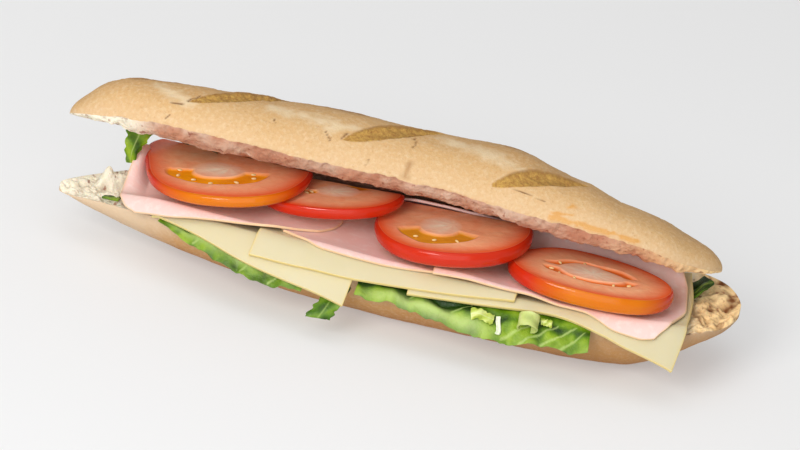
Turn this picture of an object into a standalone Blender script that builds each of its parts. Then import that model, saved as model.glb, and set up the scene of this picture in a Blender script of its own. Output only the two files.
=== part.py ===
# A submarine sandwich: half a baguette split along its front, opened towards the viewer, and filled
# with lettuce, sliced cheese, cooked ham and tomato slices.
# +X runs along the loaf, -Y is the open front, +Z is up. Sizes below are in millimetres and are
# turned to metres only when a mesh is made. The finished sandwich stands on z = 0 with the middle
# of its box over the origin.

import math
import random

import bmesh
import bpy
import numpy as np
from mathutils import Vector

MM = 0.001
GAP = 0.3

# The bottom half, one row for each place along the loaf:
# x, middle of the loaf in y, half width, height of the cut face, height of the underside
BOTTOM_ROWS = [
    (-144.5, 0.0, 0.0, 22.5, 22.5),
    (-137.0, 1.0, 7.0, 23.5, 18.6),
    (-125.0, 3.0, 12.5, 24.8, 14.3),
    (-101.0, 5.0, 22.5, 27.0, 8.0),
    (-73.0, 4.5, 30.0, 28.0, 3.5),
    (-35.0, 2.0, 34.5, 28.0, -1.0),
    (20.0, -0.5, 36.0, 28.0, -2.5),
    (70.0, -2.0, 36.5, 28.0, -2.5),
    (100.0, -2.5, 35.0, 28.0, -1.0),
    (118.0, -2.0, 32.0, 28.5, 6.5),
    (131.0, -1.0, 26.0, 28.8, 15.5),
    (140.0, 0.0, 18.5, 29.0, 21.0),
    (146.5, 0.0, 0.0, 28.8, 28.8),
]
BOTTOM_SLOPE = 1.5  # the back of the cut face is this much higher than its middle
BOTTOM_DISH = 5.8  # how far the filling has pressed the crumb down

# The top half: x, half width, height of the crown over the cut face, how far it is tilted open,
# height of the line it is hinged on
TOP_ROWS = [
    (-146.0, 0.0, 0.0, 29.0, 36.5),
    (-140.0, 11.0, 9.0, 29.0, 36.8),
    (-132.0, 16.5, 15.5, 29.2, 37.2),
    (-122.0, 21.0, 18.6, 29.6, 37.6),
    (-106.0, 27.5, 19.8, 30.2, 37.2),
    (-90.0, 31.5, 21.8, 31.0, 35.2),
    (-60.0, 35.5, 25.2, 32.0, 31.8),
    (-30.0, 36.0, 27.2, 32.2, 30.6),
    (0.0, 36.0, 26.4, 32.0, 30.2),
    (38.0, 36.0, 28.0, 30.2, 30.0),
    (66.0, 35.0, 22.0, 28.6, 30.0),
    (90.0, 32.5, 19.0, 27.4, 30.0),
    (108.0, 28.0, 16.2, 25.4, 30.0),
    (121.0, 21.0, 11.5, 22.8, 30.2),
    (130.0, 13.0, 7.0, 21.6, 30.6),
    (135.5, 0.0, 0.0, 21.0, 31.0),
]
HINGE_Y = 36.0
TOP_DENT = 1.2  # how far the filling has pressed into the upper crumb
TOP_LIP = 2.6  # how far the torn crumb hangs below the front of the cut face, and more at the right
LIP_START = 0.45  # where the lip starts, from 0 in the middle of the cut face to 1 at its front edge

# Baker's cuts on the crown: start and end (x, place across the crown), widest half width, depth.
# The place across runs from 0 at the front edge to 1 at the back edge.
SCORES = [
    ((-97.0, 0.17), (-43.0, 0.55), 7.0, 2.2),
    ((-31.0, 0.12), (10.0, 0.40), 6.5, 2.4),
    ((33.0, 0.07), (73.0, 0.34), 6.0, 3.0),
]

# Torn crumb standing up at the left end of the bottom half: x, y, height, spread
LUMPS = [
    (-126.0, 7.5, 8.0, 2.8),
    (-120.5, 9.0, 6.0, 4.2),
    (-114.0, 11.0, 5.5, 5.0),
]

# Slices of cheese and ham, each laid over the crumb with its front edge hanging over the rim.
# front and back are the edges' y at places along x; left and right are the short edges' x at
# places from 0 at the front to 1 at the back; lift is the height over the crumb along x. Where a
# slice has a rise, its back turns up by that height between the two places in y, beyond those in x.
SLICES = {
    "cheese_a": dict(
        front=[(-100.4, -20.5), (-61.7, -38.5), (-42.8, -44.3), (-25.6, -48.1), (-17.6, -49.9)],
        back=[(-100.0, 18.0), (-14.0, 8.0)],
        left=[(0.0, -103.0), (1.0, -96.0)], right=[(0.0, -17.6), (0.4, -13.0), (1.0, -9.0)],
        lift=[(-100, 2.4), (-60, 4.0), (-35, 4.0), (-14, 3.0)], thick=1.8, droop=1.0,
    ),
    "cheese_c": dict(
        front=[(7.6, -42.5), (35.3, -42.2), (67.6, -41.1), (90.7, -44.5), (102.1, -46.8), (121.4, -48.6)],
        back=[(8.0, 24.0), (124.0, 20.0)],
        left=[(0.0, 7.6), (1.0, 11.0)],
        right=[(0.0, 121.4), (0.25, 124.7), (0.7, 126.6), (1.0, 124.5)],
        lift=[(8, 2.8), (60, 3.0), (124, 2.2)], thick=1.8, droop=1.0,
    ),
    "cheese_b": dict(
        front=[(-60.1, -38.1), (-38.2, -41.3), (-13.0, -42.4), (20.2, -42.3), (52.1, -40.6)],
        back=[(-60.0, 22.0), (54.0, 22.0)],
        left=[(0.0, -60.0), (0.4, -55.4), (1.0, -51.0)],
        right=[(0.0, 52.1), (0.3, 54.2), (1.0, 58.0)],
        lift=[(-62, 6.5), (-35, 6.4), (-14, 5.4), (0, 5.2), (54, 5.4)], thick=1.8, droop=0.95,
    ),
    "ham_b": dict(
        front=[(-47.5, -24.3), (-30.2, -34.6), (1.3, -36.8), (15.5, -35.7), (30.0, -31.0)],
        back=[(-50.0, 20.0), (-20.0, 18.0), (0.0, 13.0), (30.0, 12.0)],
        left=[(0.0, -48.0), (0.3, -51.0), (1.0, -44.0)],
        right=[(0.0, 20.0), (0.2, 29.0), (0.6, 31.0), (1.0, 24.0)],
        lift=[(-50, 8.5), (-35, 8.5), (-14, 7.8), (0, 7.5), (24, 7.6)], thick=1.1, droop=0.85,
    ),
    "ham_a": dict(
        front=[(-110.5, -21.6), (-93.2, -25.5), (-61.7, -27.5), (-33.6, -17.0), (-25.0, -10.0)],
        back=[(-110.0, 19.0), (-30.0, 20.0)],
        left=[(0.0, -110.5), (0.1, -115.5), (0.27, -118.4), (0.6, -115.5), (1.0, -107.0)],
        right=[(0.0, -33.6), (0.1, -27.0), (0.3, -24.6), (1.0, -27.0)],
        lift=[(-118, 5.0), (-100, 7.0), (-62, 8.6), (-50, 10.0), (-20, 9.6)], thick=1.1, droop=0.8,
    ),
    "ham_c": dict(
        front=[(16.4, -38.2), (56.3, -38.2), (79.8, -38.7), (95.8, -44.0), (105.0, -44.5), (114.7, -41.7)],
        back=[(16.0, 12.0), (40.0, 19.0), (80.0, 23.0), (120.0, 17.0)],
        left=[(0.0, 16.4), (1.0, 19.0)],
        right=[(0.0, 112.0), (0.1, 117.0), (0.25, 120.5), (0.45, 123.9), (0.8, 123.5), (1.0, 119.0)],
        lift=[(14, 9.3), (30, 9.2), (45, 8.0), (56, 7.7), (72, 5.5), (124, 4.7)], thick=1.1, droop=0.85,
        rise=dict(x=(60.0, 74.0), y=(6.0, 22.0), height=7.5),
    ),
}

# Tomato slices: middle in x, front edge of the upper face (y, z), half length, half depth,
# thickness, how far the front is raised and the right end is raised in degrees, how far below the
# upper crumb the slice is pressed flat, and the way in degrees in which it is a little larger, with
# how much
TOMATOES = {
    "tomato_1": dict(
        x=-75.5, front=(-28.0, 44.9), half=(35.0, 33.0), thick=5.3, pitch=1.0, roll=9.5, under=2.0,
        corner=(142.0, 0.11),
    ),
    "tomato_2": dict(
        x=-32.0, front=(-20.0, 46.1), half=(31.0, 20.5), thick=5.4, pitch=3.0, roll=9.2, under=2.0,
        corner=(90.0, 0.0),
    ),
    "tomato_3": dict(
        x=21.0, front=(-41.0, 46.6), half=(33.5, 35.0), thick=7.2, pitch=4.0, roll=7.0, under=2.2,
        corner=(90.0, 0.0),
    ),
    "tomato_4": dict(
        x=82.2, front=(-43.0, 42.7), half=(35.5, 24.0), thick=7.3, pitch=5.0, roll=-0.8, under=0.6,
        corner=(112.0, 0.12),
    ),
}

# Lettuce lying on the crumb under the slices, in the same terms as a slice, with the height and
# length of its ruffles
LEAVES = {
    "lettuce_left": dict(
        front=[(-100.4, -20.0), (-85.3, -28.9), (-68.0, -36.5), (-53.8, -41.2), (-35.7, -43.7)],
        back=[(-100.0, -14.0), (-40.0, -20.0)],
        left=[(0.0, -100.4), (1.0, -97.0)], right=[(0.0, -35.7), (1.0, -31.0)],
        lift=[(-105, 0.5), (-60, 0.9), (-25, 0.7)], thick=0.8, droop=1.25, ruffle=(1.0, 11.0),
    ),
    "lettuce_centre": dict(
        front=[
            (-13.9, -42.8), (1.3, -44.0), (16.8, -46.2), (32.8, -48.5), (48.3, -50.1), (64.3, -49.1),
            (86.1, -49.1),
        ],
        back=[(-14.0, -22.0), (86.0, -24.0)],
        left=[(0.0, -13.9), (1.0, -11.0)], right=[(0.0, 86.1), (1.0, 84.0)],
        lift=[(-14, 1.0), (90, 1.0)], thick=0.8, droop=1.3, ruffle=(1.0, 14.0),
    ),
    "lettuce_sliver": dict(
        front=[(91.5, -42.3), (99.0, -43.9)], back=[(91.5, -37.5), (99.0, -38.5)],
        left=[(0.0, 92.2), (1.0, 91.5)], right=[(0.0, 98.2), (1.0, 99.0)],
        lift=[(91, 0.4), (99, 0.4)], thick=0.8, droop=1.15, ruffle=(0.2, 9.0),
    ),
    "lettuce_end_right": dict(
        front=[(117.0, 4.0), (134.0, 6.0)], back=[(117.0, 17.0), (128.0, 17.5), (134.0, 14.0)],
        left=[(0.0, 117.0), (1.0, 117.5)], right=[(0.0, 131.5), (0.4, 134.0), (1.0, 130.0)],
        lift=[(117, 0.3), (125, 0.4), (127.5, 1.2), (130.5, 4.4), (134, 5.8)], thick=0.8, droop=1.0,
        ruffle=(0.5, 9.0),
    ),
    "lettuce_scrap": dict(
        front=[(-126.0, -4.4), (-118.0, -4.9)], back=[(-126.0, -2.2), (-118.0, 0.4)],
        left=[(0.0, -126.0), (1.0, -125.0)], right=[(0.0, -119.0), (1.0, -118.0)],
        lift=[(-126, 0.3), (-118, 0.6)], thick=0.8, droop=1.0, ruffle=(0.2, 6.0),
    ),
}

# Sheets pressed between the tomato slices and the upper crumb: edges as for a slice, and the
# gap below the crumb; where a tomato's face lies lower, the sheet rests on that face instead
PRESSED = {
    "ham_back": dict(
        front=[(-38.0, 12.0), (-14.0, 8.0), (2.0, 4.5), (24.0, 2.5), (46.0, 3.5)],
        back=[(-38.0, 24.0), (46.0, 25.0)],
        left=[(0.0, -36.0), (1.0, -38.0)], right=[(0.0, 47.0), (0.3, 50.0), (1.0, 47.0)], thick=1.1,
    ),
    "lettuce_back": dict(
        front=[(-101.0, 14.0), (-92.0, 11.0), (-82.0, 12.5)], back=[(-101.0, 19.5), (-82.0, 17.5)],
        left=[(0.0, -99.5), (1.0, -101.0)], right=[(0.0, -83.0), (1.0, -82.0)], thick=0.8,
    ),
}

# Small loose strips of lettuce: points along the middle, half the width as a vector at each end,
# and thickness. Points of the pieces in ON_LEAF give the height over the middle leaf.
STRIPS = {
    "lettuce_drop": dict(
        path=[
            (-19.5, -38.5, 21.8), (-21.5, -43.0, 19.6), (-23.5, -47.5, 16.5), (-25.4, -50.0, 13.2),
            (-26.8, -50.9, 10.6),
        ],
        half=[(4.0, 0.0, 0.4), (5.6, -0.6, 0.6)], thick=0.8,
    ),
    "lettuce_end_left": dict(
        path=[
            (-117.4, 8.5, 35.6), (-117.6, 9.2, 40.0), (-116.8, 9.9, 44.4), (-115.9, 10.4, 48.3),
            (-115.5, 10.8, 50.9),
        ],
        half=[(1.6, 0.3, 0.0), (6.2, -0.5, 0.6)], thick=0.8,
    ),
    "lettuce_frill_a": dict(
        path=[
            (35.4, -44.9, 1.4), (38.0, -45.3, 2.2), (40.6, -44.8, 1.5), (43.0, -45.1, 2.2),
            (45.0, -44.6, 1.6),
        ],
        half=[(0.3, -1.6, -1.7), (-0.2, -1.5, -1.6)], thick=0.8,
    ),
    "lettuce_frill_b": dict(
        path=[(64.6, -43.8, 2.3), (66.2, -44.4, 3.0), (67.6, -43.9, 2.4), (69.2, -44.3, 2.9)],
        half=[(0.0, -0.9, -1.0), (0.0, -1.0, -1.2)], thick=0.8,
    ),
    "lettuce_shred": dict(
        path=[
            (46.8, -43.5, 1.7), (47.0, -44.8, 1.6), (47.7, -46.6, 1.5), (48.0, -48.2, 1.5), (47.5, -49.3, 1.6),
        ],
        half=[(1.0, 0.0, 0.2), (1.1, 0.0, -0.2)], thick=0.9,
    ),
}
ON_LEAF = ("lettuce_frill_a", "lettuce_frill_b", "lettuce_shred")

# Rolled piece of lettuce rib on the middle leaf: middle, radius, half length, slope of its axis,
# and the turns between which the roll is closed
ROLL = dict(middle=(59.4, -47.4, 26.4), radius=4.0, half=3.2, slope=40.0, turns=(-65.0, 215.0), thick=0.9)


def smooth_rows(rows, columns, x):
    """Values of a table's columns at x, along monotone cubic curves through its rows."""
    table = np.array(rows, float)
    keys = table[:, 0]
    out = []
    for column in columns:
        values = table[:, column]
        steps = np.diff(keys)
        slopes = np.diff(values) / steps
        tangents = np.zeros(len(keys))
        for i in range(1, len(keys) - 1):
            if slopes[i - 1] * slopes[i] > 0:
                tangents[i] = 2.0 / (1.0 / slopes[i - 1] + 1.0 / slopes[i])
        tangents[0] = slopes[0]
        tangents[-1] = slopes[-1]
        at = np.clip(x, keys[0], keys[-1])
        cell = np.clip(np.searchsorted(keys, at) - 1, 0, len(steps) - 1)
        t = (at - keys[cell]) / steps[cell]
        out.append(
            (2 * t**3 - 3 * t**2 + 1) * values[cell]
            + (t**3 - 2 * t**2 + t) * steps[cell] * tangents[cell]
            + (3 * t**2 - 2 * t**3) * values[cell + 1]
            + (t**3 - t**2) * steps[cell] * tangents[cell + 1]
        )
    return out


def squared(rows, columns):
    """A copy of a table with some columns squared, so that a round end stays round when read."""
    return [
        tuple(value**2 if i in columns else value for i, value in enumerate(row)) for row in rows
    ]


def bottom_at(x):
    """Middle y, half width, cut height and depth of the bottom half at x."""
    middle, cut, base = smooth_rows(BOTTOM_ROWS, (1, 3, 4), x)
    (width2,) = smooth_rows(squared(BOTTOM_ROWS, (2,)), (2,), x)
    return middle, np.sqrt(np.maximum(width2, 0.0)), cut, np.maximum(cut - base, 0.05)


def top_at(x):
    """Half width, crown height, opening angle in radians and hinge height of the top half at x."""
    width2, crown2 = smooth_rows(squared(TOP_ROWS, (1, 2)), (1, 2), x)
    angle, hinge = smooth_rows(TOP_ROWS, (3, 4), x)
    return np.sqrt(np.maximum(width2, 0.0)), np.sqrt(np.maximum(crown2, 0.0)), np.radians(angle), hinge


def waves(x, y, size, seed):
    """Smooth uneven relief between about -1 and 1, with swells of the given size."""
    draw = random.Random(seed)
    total = 0.0
    for _ in range(6):
        angle = draw.uniform(0, 2 * math.pi)
        length = size * draw.uniform(0.7, 1.5)
        phase = draw.uniform(0, 2 * math.pi)
        along = np.asarray(x) * math.cos(angle) + np.asarray(y) * math.sin(angle)
        total = total + np.sin(along * 2 * math.pi / length + phase)
    return total / 3.5


def crumb_z(x, y):
    """Height of the bottom half's cut face, pressed down in the middle, rough and torn at the ends."""
    middle, width, cut, _ = bottom_at(x)
    across = np.clip((y - middle) / np.maximum(width, 0.5), -1.0, 1.0)
    pressed = np.clip((x + 138.0) / 30.0, 0, 1) * np.clip((140.0 - x) / 26.0, 0, 1)
    hollow = BOTTOM_DISH * pressed * (1 - across**2)
    rim = 1.0 - across**4
    lumps = 0.0
    for lump_x, lump_y, height, spread in LUMPS:
        lumps = lumps + height * np.exp(-((x - lump_x) ** 2 + (y - lump_y) ** 2) / spread**2)
    torn = np.clip((x - 122.0) / 8.0, 0, 1) * 1.3 * waves(x, y, 13.0, 5)
    return cut + BOTTOM_SLOPE * across - hollow + (lumps + torn) * rim


def rest_z(x, y, droop):
    """Height at which the filling starts: on the crumb, over the front rim, then down outside it."""
    middle, width, _, _ = bottom_at(x)
    inside = middle - width * 0.97
    past = np.maximum(inside - y, 0.0)
    fall = past**2 / (past + 6.0)
    flat = np.maximum(y, inside)
    behind = np.minimum(flat, middle + width * 0.9)
    return crumb_smooth(x, behind) + GAP - droop * fall


def crumb_smooth(x, y):
    """The cut face without its torn ends, so that slices lie smoothly on it."""
    middle, width, cut, _ = bottom_at(x)
    across = np.clip((y - middle) / np.maximum(width, 0.5), -1.0, 1.0)
    pressed = np.clip((x + 138.0) / 30.0, 0, 1) * np.clip((140.0 - x) / 26.0, 0, 1)
    return cut + BOTTOM_SLOPE * across - BOTTOM_DISH * pressed * (1 - across**2)


def finish(name, points, faces, material, flat=None):
    """An object from points in millimetres and faces, with its normals made to point outwards.

    flat, when given, is a plane that the piece is pressed flat against from below.
    """
    mesh = bpy.data.meshes.new(name)
    mesh.from_pydata([tuple(float(c) * MM for c in p) for p in points], [], faces)
    shell = bmesh.new()
    shell.from_mesh(mesh)
    if flat:
        normal = flat["plane_no"]
        bmesh.ops.bisect_plane(
            shell,
            geom=shell.verts[:] + shell.edges[:] + shell.faces[:],
            plane_co=flat["plane_co"] - normal * flat["below"],
            plane_no=normal,
            clear_outer=True,
        )
        bmesh.ops.holes_fill(shell, edges=[edge for edge in shell.edges if edge.is_boundary], sides=0)
    bmesh.ops.recalc_face_normals(shell, faces=shell.faces)
    shell.to_mesh(mesh)
    shell.free()
    mesh.shade_smooth()
    mesh.set_sharp_from_angle(angle=math.radians(50))
    mesh.materials.append(material)
    piece = bpy.data.objects.new(name, mesh)
    bpy.context.scene.collection.objects.link(piece)
    return piece


def food(name, colour, roughness):
    """A plain finish for one kind of food, with its colour as linear red, green and blue."""
    material = bpy.data.materials.new(name)
    material.use_nodes = True
    shader = material.node_tree.nodes["Principled BSDF"]
    shader.inputs["Base Color"].default_value = (*colour, 1.0)
    shader.inputs["Roughness"].default_value = roughness
    shader.inputs["Metallic"].default_value = 0.0
    material.diffuse_color = (*colour, 1.0)
    return material


def closed_tube(name, rings, ends, material):
    """A closed solid from equal rings of points, with a point closing each end."""
    count = len(rings[0])
    points = [p for ring in rings for p in ring] + list(ends)
    faces = []
    for i in range(len(rings) - 1):
        for j in range(count):
            a = i * count + j
            b = i * count + (j + 1) % count
            faces.append((a, b, b + count, a + count))
    first = len(rings) * count
    last = (len(rings) - 1) * count
    for j in range(count):
        faces.append((first, (j + 1) % count, j))
        faces.append((first + 1, last + j, last + (j + 1) % count))
    return finish(name, points, faces, material)


def stations(start, end, count, crowd):
    """Places from start to end, closer together near the ends by the power crowd."""
    t = np.linspace(0.0, 1.0, count + 2)[1:-1]
    eased = np.where(t < 0.5, 0.5 * (2 * t) ** crowd, 1 - 0.5 * (2 * (1 - t)) ** crowd)
    return start + (end - start) * eased


def bread_bottom(material):
    """The lower half: a flat spot to stand on, round crust, and a hollowed, torn cut face."""
    crust_steps = 14
    crumb_steps = 9
    rings = []
    for x in stations(BOTTOM_ROWS[0][0], BOTTOM_ROWS[-1][0], 42, 1.35):
        middle, width, cut, depth = (float(v) for v in bottom_at(x))
        ring = []
        for i in range(crumb_steps):
            y = middle + width * (1 - 2 * i / crumb_steps)
            ring.append((x, y, float(crumb_z(x, y))))
        for i in range(crust_steps):
            turn = math.pi * i / crust_steps
            y = middle - width * math.cos(turn)
            edge = float(crumb_z(x, middle - width)) * (1 + math.cos(turn)) / 2
            edge += float(crumb_z(x, middle + width)) * (1 - math.cos(turn)) / 2
            z = edge - (depth - (cut - edge)) * math.sin(turn) ** 0.92
            ring.append((x, y, max(z, 0.0)))
        rings.append(ring)
    left, right = BOTTOM_ROWS[0], BOTTOM_ROWS[-1]
    ends = [(left[0], left[1], left[3]), (right[0], right[1], right[3])]
    return closed_tube("bread_bottom", rings, ends, material)


def top_point(x, across, height):
    """A point of the top half from its place across the cut face, 0 at the hinge, and its height."""
    _, _, angle, hinge = top_at(x)
    y = HINGE_Y - across * math.cos(angle) + height * math.sin(angle)
    z = hinge + GAP + across * math.sin(angle) + height * math.cos(angle)
    return x, y, z


def score_relief(x, place):
    """How far the crust is lowered inside a baker's cut, and raised along its lip."""
    relief = 0.0
    for (x0, p0), (x1, p1), half_width, depth in SCORES:
        run = (x - x0) / (x1 - x0)
        if not 0.0 < run < 1.0:
            continue
        girth = 105.0
        off = (place - (p0 + (p1 - p0) * run)) * girth
        reach = half_width * math.sin(math.pi * run) ** 0.6 + 0.01
        if abs(off) < reach:
            relief -= depth * (1 - (off / reach) ** 2) * math.sin(math.pi * run) ** 0.5
        lip = math.exp(-(((off - reach) / 2.5) ** 2)) * math.sin(math.pi * run)
        relief += 0.9 * lip
    return relief


def top_lip(x, side, width):
    """How far the torn crumb hangs below the cut face, most of it close behind the front edge."""
    reach = TOP_LIP * (1 + 0.5 * min(max((x - 30.0) / 40.0, 0.0), 1.0)) * min(1.0, width / 24.0)
    run = min(max((side - LIP_START) / (1 - LIP_START), 0.0), 1.0)
    return reach * math.sin(math.pi * run**1.6) ** 0.8


def bread_top(material):
    """The upper half, tipped back on the hinge line, with baker's cuts and a dented crumb face."""
    crust_steps = 19
    crumb_steps = 10
    rings = []
    for x in stations(TOP_ROWS[0][0], TOP_ROWS[-1][0], 50, 1.2):
        width, crown, _, _ = (float(v) for v in top_at(x))
        ring = []
        dent_run = min(max((x + 128.0) / 30.0, 0), 1) * min(max((112.0 - x) / 30.0, 0), 1)
        for i in range(crumb_steps):
            side = -1 + 2 * (i / crumb_steps) ** 0.85
            dent = TOP_DENT * dent_run * math.sin(math.pi * ((side + 1) / 2) ** 0.75) ** 1.2
            rough = 0.5 * float(waves(x, side * width, 15.0, 8)) * (1 - side**4)
            ring.append(top_point(x, HINGE_Y + side * width, dent + rough - top_lip(x, side, width)))
        for i in range(crust_steps):
            turn = math.pi * i / crust_steps
            place = i / crust_steps
            bulge = crown + score_relief(x, place) * min(1.0, crown / 12.0)
            across = HINGE_Y + width * math.copysign(abs(math.cos(turn)) ** 0.94, math.cos(turn))
            ring.append(top_point(x, across, bulge * math.sin(turn) ** 0.9))
        rings.append(ring)
    ends = [top_point(row[0], HINGE_Y, 0.0) for row in (TOP_ROWS[0], TOP_ROWS[-1])]
    return closed_tube("bread_top", rings, ends, material)


def thin_solid(name, lower, upper, material):
    """A thin closed solid between two equal grids of points, both faces split alike."""
    rows, columns = len(lower), len(lower[0])
    points = [point for grid in (lower, upper) for line in grid for point in line]
    layer_size = rows * columns
    faces = []
    for i in range(rows - 1):
        for j in range(columns - 1):
            a = i * columns + j
            b, c, d = a + 1, a + columns + 1, a + columns
            faces += [(a, c, b), (a, d, c)]
            faces += [tuple(v + layer_size for v in (a, b, c)), tuple(v + layer_size for v in (a, c, d))]
    edge = [j for j in range(columns)]
    edge += [i * columns + columns - 1 for i in range(1, rows)]
    edge += [(rows - 1) * columns + j for j in range(columns - 2, -1, -1)]
    edge += [i * columns for i in range(rows - 2, 0, -1)]
    for k, a in enumerate(edge):
        b = edge[(k + 1) % len(edge)]
        faces += [(a, b, b + layer_size), (a, b + layer_size, a + layer_size)]
    return finish(name, points, faces, material)


def reading(table, at):
    """One number read from a table of pairs."""
    return float(smooth_rows(table, (1,), at)[0])


def plan_grid(form, cell, crowd):
    """Points of a sheet seen from above, in rows from its front edge to its back edge."""
    length = form["front"][-1][0] - form["front"][0][0]
    depth = max(y for _, y in form["back"]) - min(y for _, y in form["front"])
    columns = max(4, round(length / cell))
    rows = max(3, round(depth / cell) + 1)
    grid = []
    for i in range(rows + 1):
        place = (i / rows) ** crowd
        left, right = reading(form["left"], place), reading(form["right"], place)
        line = []
        for j in range(columns + 1):
            x = left + (right - left) * j / columns
            front, back = reading(form["front"], x), reading(form["back"], x)
            line.append((x, front + (back - front) * place, place))
        grid.append(line)
    return grid


def raised(grid, thick):
    """A copy of a grid of points, raised by a thickness."""
    return [[(x, y, z + thick) for x, y, z in line] for line in grid]


def turned_up(rise, x, y):
    """How far a slice's back is turned up at a place."""
    shares = []
    for at, (start, end) in ((x, rise["x"]), (y, rise["y"])):
        run = min(max((at - start) / (end - start), 0.0), 1.0)
        shares.append(run * run * (3 - 2 * run))
    return rise["height"] * shares[0] * shares[1]


def slice_of(name, material):
    """One slice of ham or cheese, laid over the crumb and hanging over the front rim."""
    form = SLICES[name]
    grid = []
    for line in plan_grid(form, 7.5, 1.6):
        lower = []
        for x, y, _ in line:
            z = float(rest_z(x, y, form["droop"])) + reading(form["lift"], x)
            if "rise" in form:
                z = min(z + turned_up(form["rise"], x, y), crumb_above(x, y) - 0.7 - form["thick"])
            lower.append((x, y, z))
        grid.append(lower)
    return thin_solid(name, grid, raised(grid, form["thick"]), material)


def leaf_z(form, x, y):
    """Height of the underside of a lettuce leaf lying on the crumb, more ruffled where it hangs."""
    height, length = form["ruffle"]
    middle, width, _, _ = bottom_at(x)
    outside = min(max((float(middle - width) - y) / 8.0, 0.0), 1.0)
    ripple = height * (0.4 + 0.8 * outside) * float(waves(x, y, length, 12))
    lift = reading(form["lift"], x)
    return float(rest_z(x, y, form["droop"])) + lift + max(ripple, -lift)


def leaf(name, material):
    """A ruffled lettuce leaf under the cheese, its free edge hanging down outside the bread."""
    form = LEAVES[name]
    grid = [[(x, y, leaf_z(form, x, y)) for x, y, _ in line] for line in plan_grid(form, 4.4, 1.2)]
    return thin_solid(name, grid, raised(grid, form["thick"]), material)


def crumb_above(x, y):
    """Height of the upper half's cut face over a place."""
    _, _, angle, hinge = top_at(x)
    return float(hinge + (HINGE_Y - y) * np.tan(angle))


def tomato_face(form, x, y):
    """Height of a tomato slice's upper face at a place."""
    front_y, front_z = form["front"]
    back = (y - front_y) * math.tan(math.radians(form["pitch"]))
    return front_z - back + (x - form["x"]) * math.tan(math.radians(form["roll"]))


def pressed_sheet(name, material):
    """A slice or leaf between the tomato and the upper crumb, following whichever is lower."""
    form = PRESSED[name]
    grid = []
    for line in plan_grid(form, 5.0, 1.0):
        lower = []
        for x, y, _ in line:
            z = crumb_above(x, y) - 0.7 - form["thick"]
            if name == "ham_back":
                second = tomato_face(TOMATOES["tomato_2"], x, y)
                third = tomato_face(TOMATOES["tomato_3"], x, y)
                step = min(max(x / 6.0, 0.0), 1.0)
                face = second + (third - second) * step * step * (3 - 2 * step)
                z = min(z, max(face + 0.6, 45.1 - 0.25 * (y - 3.0)))
            lower.append((x, y, z))
        grid.append(lower)
    return thin_solid(name, grid, raised(grid, form["thick"]), material)


def strip(name, path, halves, thick, material):
    """A thin strip along a path, as wide as the vectors in halves, and thick across both."""
    lower, upper = [], []
    for side in (-1.0, -0.35, 0.35, 1.0):
        below, above = [], []
        for i, point in enumerate(path):
            ahead = Vector(path[min(i + 1, len(path) - 1)]) - Vector(path[max(i - 1, 0)])
            half = Vector(halves[i])
            normal = ahead.cross(half).normalized()
            cup = 0.5 * (side * side - 0.5)
            place = Vector(point) + half * side + normal * cup
            below.append(tuple(place - normal * thick / 2))
            above.append(tuple(place + normal * thick / 2))
        lower.append(below)
        upper.append(above)
    return thin_solid(name, lower, upper, material)


def smooth_path(points, count):
    """More points along a smooth curve through a few."""
    keys = [(i, *point) for i, point in enumerate(points)]
    places = np.linspace(0, len(points) - 1, count)
    return list(zip(*(smooth_rows(keys, (1, 2, 3), places))))


def loose_strip(name, material):
    """One of the small strips of lettuce."""
    form = STRIPS[name]
    path = []
    for x, y, z in smooth_path(form["path"], 9):
        if name in ON_LEAF:
            z += leaf_z(LEAVES["lettuce_centre"], x, y) + LEAVES["lettuce_centre"]["thick"]
        path.append((x, y, z))
    first, last = (Vector(half) for half in form["half"])
    halves = [first.lerp(last, i / 8) for i in range(9)]
    return strip(name, path, halves, form["thick"], material)


def roll(name, material):
    """A piece of lettuce rib curled into a short open tube."""
    slope = math.radians(ROLL["slope"])
    axis = Vector((0.0, -math.cos(slope), -math.sin(slope)))
    up = Vector((0.0, -math.sin(slope), math.cos(slope)))
    path = []
    for i in range(15):
        turn = math.radians(ROLL["turns"][0] + (ROLL["turns"][1] - ROLL["turns"][0]) * i / 14)
        spoke = Vector((math.cos(turn), 0.0, 0.0)) + up * math.sin(turn)
        path.append(tuple(Vector(ROLL["middle"]) + spoke * ROLL["radius"]))
    return strip(name, path, [axis * ROLL["half"]] * 15, ROLL["thick"], material)


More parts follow.
